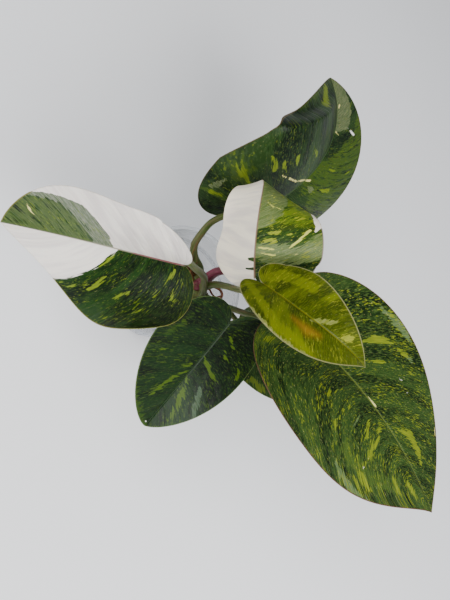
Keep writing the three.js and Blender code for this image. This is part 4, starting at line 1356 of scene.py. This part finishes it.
# %% Pot finish
def clear_plastic():
    """Clear plastic that handling and water have clouded: mostly see-through, with a milky veil,
    fine rub marks and a few dried drops. It looks denser at a slant. Along the rolled rim it is
    denser and lighter, a painted highlight, and at the stacking step denser, a painted light ring."""
    material, tree, shader = new_material("clear plastic", IOR=1.49)
    where = put(tree, "TexCoord").outputs["Object"]
    cloud = noise_at(tree, where, 34.0, 4.0)
    rubs = noise_at(tree, put(tree, "Mapping", where, None, None, (120.0, 120.0, 900.0)).outputs[0])
    drops = put(tree, "TexVoronoi", where)
    join(tree, drops.inputs["Scale"], 150.0)
    drop = ramp(tree, drops.outputs["Distance"], 0.1, 0.16, 1.0, 0.0)
    veil = ramp(tree, cloud, 0.35, 0.7, 0.1, 0.18)
    veil = maths(tree, "MULTIPLY_ADD", ramp(tree, rubs, 0.55, 0.75), 0.06, veil)
    slant = put(tree, "LayerWeight", 0.4).outputs["Facing"]
    veil = maths(tree, "MULTIPLY_ADD", maths(tree, "POWER", slant, 2.5), 0.8, veil)
    height = put(tree, "SeparateXYZ", where).outputs[2]
    # painted highlight: the rolled rim and the stacking step are drawn denser, and the rim lighter
    # in colour
    rim = ramp(tree, height, 87.6 * MM, 88.6 * MM)
    step = ramp(tree, maths(tree, "ABSOLUTE", maths(tree, "SUBTRACT", height, 67.9 * MM)), 0.6 * MM,
        1.6 * MM, 1.0, 0.0)
    veil = maths(tree, "MULTIPLY_ADD", maths(tree, "MAXIMUM", rim, step), 0.28, veil)
    join(tree, shader.inputs["Alpha"], maths(tree, "MULTIPLY_ADD", drop, 0.05, veil))
    join(tree, shader.inputs["Base Color"],
        blend_colour(tree, rim, linear(180, 186, 194), linear(232, 236, 240)))
    join(tree, shader.inputs["Roughness"], ramp(tree, cloud, 0.3, 0.7, 0.12, 0.34))
    return material


pot.data.materials.append(clear_plastic())

# %% [markdown]
# ## Potting mix
# Bark mix is a heap of chips. Loose chips by the thousand would be heavy, and most are hidden.
# So the filled body is one turned surface, pressed into chips by the nearest and second nearest
# of many stretched centres, and loose chips lie only in its top.

# %% Mix body
MIX_LEVEL, MIX_CROWN, GAP = 53.0, 3.0, 0.35
CHIP_CENTRES = 620
rng = np.random.default_rng(11)


def inner_radius(z):
    """The pot's inner wall less the gap."""
    return 37 + (46.4 - 37) * z / 67 - 1.3 - GAP


def mix_profile():
    """Floor, wall and domed top at steps of about 1.4 mm."""
    corners = np.array([
        (0, 4.45), (inner_radius(4.1) - 2, 4.45), (inner_radius(6.7), 6.7),
        (inner_radius(MIX_LEVEL), MIX_LEVEL),
        (inner_radius(MIX_LEVEL) * 0.6, MIX_LEVEL + 0.7 * MIX_CROWN), (0, MIX_LEVEL + MIX_CROWN),
    ])
    walked = np.concatenate([[0], np.cumsum(np.linalg.norm(np.diff(corners, axis=0), axis=1))])
    place = np.linspace(0, walked[-1], int(walked[-1] / 1.3))
    return np.stack([np.interp(place, walked, corners[:, i]) for i in range(2)], 1)


def chip_pattern(points, centres, axes, stretch):
    """For each point the nearest centre, and the gap to the second nearest. A chip is longer
    along its own axis, so distance along that axis counts less."""
    away = points[:, None].astype(np.float32) - centres[None].astype(np.float32)
    along = np.einsum("pca,ca->pc", away, axes.astype(np.float32))
    distance = np.sqrt((away**2).sum(-1) - (1 - stretch**2) * along**2)
    nearest = distance.argsort(axis=1)[:, :2]
    first, second = np.take_along_axis(distance, nearest, axis=1).T
    return nearest[:, 0], second - first


def build_mix():
    """Presses the grooves between chips inwards, up to 2.6 mm, and sets each chip a little
    deeper or higher by chance."""
    points, faces = turned(mix_profile(), 200)
    normals = point_normals(points, faces)
    centres = points[rng.choice(len(points), CHIP_CENTRES, replace=False)]
    rng.choice(len(points), CHIP_CENTRES)  # unused: it keeps the later draws in their order
    axes = unit(rng.normal(size=(CHIP_CENTRES, 3)))
    chip, gap = chip_pattern(points, centres, axes, rng.uniform(0.35, 0.7, CHIP_CENTRES))
    shade = rng.random(CHIP_CENTRES)
    sunk = rng.random(CHIP_CENTRES) * 1.3
    depth = 2.6 * (1 - smooth(gap / 2.0)) + sunk[chip]
    points = points - normals * depth[:, None]
    seen = np.stack([shade[chip], gap, rng.random(CHIP_CENTRES)[chip]], 1)
    return surface("bark_mix", points, faces, "potting_mix", "potting_mix", sharp=70, chip=seen)


mix = build_mix()

# %% Loose chips
CHIP_COUNT = 130
CHIP_POINTS = 20


def build_chips():
    """Chips are lumps on a coarse latitude grid, each stretched, jittered, turned and laid in
    the top of the mix, clear of the stem."""
    lat, lon = np.meshgrid(np.linspace(0, np.pi, 5), np.linspace(0, 2 * np.pi, 7)[:-1],
        indexing="ij")
    ball = np.stack([np.sin(lat) * np.cos(lon), np.sin(lat) * np.sin(lon), np.cos(lat)],
        -1)[1:-1].reshape(-1, 3)
    ball = np.vstack([ball, [0, 0, 1], [0, 0, -1]])
    index = np.arange(18).reshape(3, 6)
    turn = np.roll(index, -1, axis=1)
    sides = [np.stack([index[:-1], index[1:], turn[1:]], -1),
        np.stack([index[:-1], turn[1:], turn[:-1]], -1)]
    caps = [np.stack([index[0], turn[0], 0 * index[0] + 18], -1),
        np.stack([turn[2], index[2], 0 * index[0] + 19], -1)]
    faces = np.concatenate([part.reshape(-1, 3) for part in sides + caps])
    number = np.arange(CHIP_COUNT)
    far = inner_radius(MIX_LEVEL) * 0.9 * np.sqrt((number + 6) / (CHIP_COUNT + 6))
    angle = number * 2.4 + rng.random(CHIP_COUNT)
    height = MIX_LEVEL + MIX_CROWN * (1 - far / inner_radius(MIX_LEVEL)) + rng.uniform(-0.8, 1.6,
        CHIP_COUNT)
    centre = np.stack([far * np.cos(angle), far * np.sin(angle), height], 1)
    size = rng.uniform(2.2, 5.2, (CHIP_COUNT, 1, 1)) * np.stack(
        [rng.uniform(0.9, 1.3, CHIP_COUNT), rng.uniform(0.5, 0.8, CHIP_COUNT),
            rng.uniform(0.3, 0.55, CHIP_COUNT)], 1)[:, None]
    shape = ball[None] * size * rng.uniform(0.75, 1.15, (CHIP_COUNT, CHIP_POINTS, 1))
    spin = np.linalg.qr(rng.normal(size=(CHIP_COUNT, 3, 3)) * [1, 1, 0.5] + np.eye(3) * 1.2)[0]
    points = np.einsum("nij,nkj->nki", spin, shape) + centre[:, None]
    out = np.hypot(points[..., 0], points[..., 1])
    limit = inner_radius(points[..., 2]) - 0.1
    points[..., :2] *= np.minimum(1, limit / np.maximum(out, 1e-6))[..., None]
    whole = (faces[None] + CHIP_POINTS * number[:, None, None]).reshape(-1, 3)
    shade = np.repeat(rng.random(CHIP_COUNT), CHIP_POINTS)
    seen = np.stack([shade, np.full(len(shade), 4.0),
        np.repeat(rng.random(CHIP_COUNT), CHIP_POINTS)], 1)
    return surface("loose_bark", points.reshape(-1, 3), whole, "potting_mix", sharp=40, chip=seen)


chips = build_chips()


# %% Bark finish
def bark():
    """Each chip has its own brown. Grooves are dark with painted shade, a few bits are pale pumice,
    and a fibrous grain roughens the rest."""
    material, tree, shader = new_material("bark", IOR=1.4)
    shade, gap, kind = parts_of(tree, "chip")
    where = put(tree, "TexCoord").outputs["Object"]
    stretched = put(tree, "Mapping", where, None, None, (900.0, 500.0, 300.0)).outputs[0]
    grain = noise_at(tree, stretched, 1.0, 4.0)
    colour = blend_colour(tree, shade, linear(58, 36, 24), linear(128, 82, 50))
    colour = blend_colour(tree, ramp(tree, kind, 0.6, 0.95), colour, linear(92, 70, 52))
    colour = blend_colour(tree, ramp(tree, kind, 0.955, 0.96), colour, linear(196, 190, 176))
    colour = blend_colour(tree, ramp(tree, grain, 0.4, 0.75, 0.0, 0.5), colour, linear(36, 22, 15))
    # painted shade: the grooves between chips are darkened nearly to black
    colour = blend_colour(tree, ramp(tree, gap, 1.6, 0.1, 0.0, 0.85), colour, linear(20, 13, 9))
    join(tree, shader.inputs["Base Color"], colour)
    join(tree, shader.inputs["Roughness"], ramp(tree, grain, 0.3, 0.7, 0.7, 0.95))
    press(tree, shader, grain, 0.8)
    return material


BARK = bark()
mix.data.materials.append(BARK)
chips.data.materials.append(BARK)

# %% [markdown]
# ## Floor and light
# A pale floor, a large soft light from the right and the front, a weaker one from the left, and
# a pale grey sky that fills the shadows.


# %% Stage
def add_floor():
    """A broad sheet at the height of the pot's base, a little uneven in tone."""
    mesh = bpy.data.meshes.new("floor")
    half = 3.0
    mesh.from_pydata([(-half, -half, 0), (half, -half, 0), (half, half, 0), (-half, half, 0)], [],
        [(0, 1, 2, 3)])
    floor = bpy.data.objects.new("floor", mesh)
    bpy.context.scene.collection.objects.link(floor)
    material, tree, shader = new_material("pale floor", Roughness=0.85)
    uneven = noise_at(tree, put(tree, "TexCoord").outputs["Object"], 3.0)
    tone = blend_colour(tree, uneven, linear(243, 244, 247), linear(247, 247, 248))
    join(tree, shader.inputs["Base Color"], tone)
    mesh.materials.append(material)
    return floor


def add_light(name, place, target, size, power):
    """A square area light that looks at a point: its minus Z axis is set along the way there."""
    place, target = np.array(place, float), np.array(target, float)
    back = unit((place - target)[None])[0]
    right = unit(np.cross([0, 0, 1], back)[None])[0]
    matrix = np.eye(4)
    matrix[:3, :3] = np.stack([right, np.cross(back, right), back], 1)
    matrix[:3, 3] = place
    data = bpy.data.lights.new(name, "AREA")
    data.size = size
    data.energy = power
    light = bpy.data.objects.new(name, data)
    light.matrix_world = Matrix(matrix.tolist())
    bpy.context.scene.collection.objects.link(light)


add_floor()
add_light("soft key", (1.0, -0.5, 1.15), (0.03, 0, 0.12), 1.1, 34)
add_light("soft fill", (-0.7, -0.9, 1.2), (0, 0, 0.1), 1.2, 20)
world = bpy.data.worlds.new("grey sky")
world.use_nodes = True
world.node_tree.nodes["Background"].inputs[0].default_value = (0.86, 0.9, 0.95, 1)
world.node_tree.nodes["Background"].inputs[1].default_value = 0.4
bpy.context.scene.world = world

# %% [markdown]
# ## Size
# The box of the imported part is printed in millimetres. The looks may not change the
# size of the part.

# %% Sizes and the end
print("cad box in mm:", np.round(np.array(cad_box) * 1000, 1).tolist())
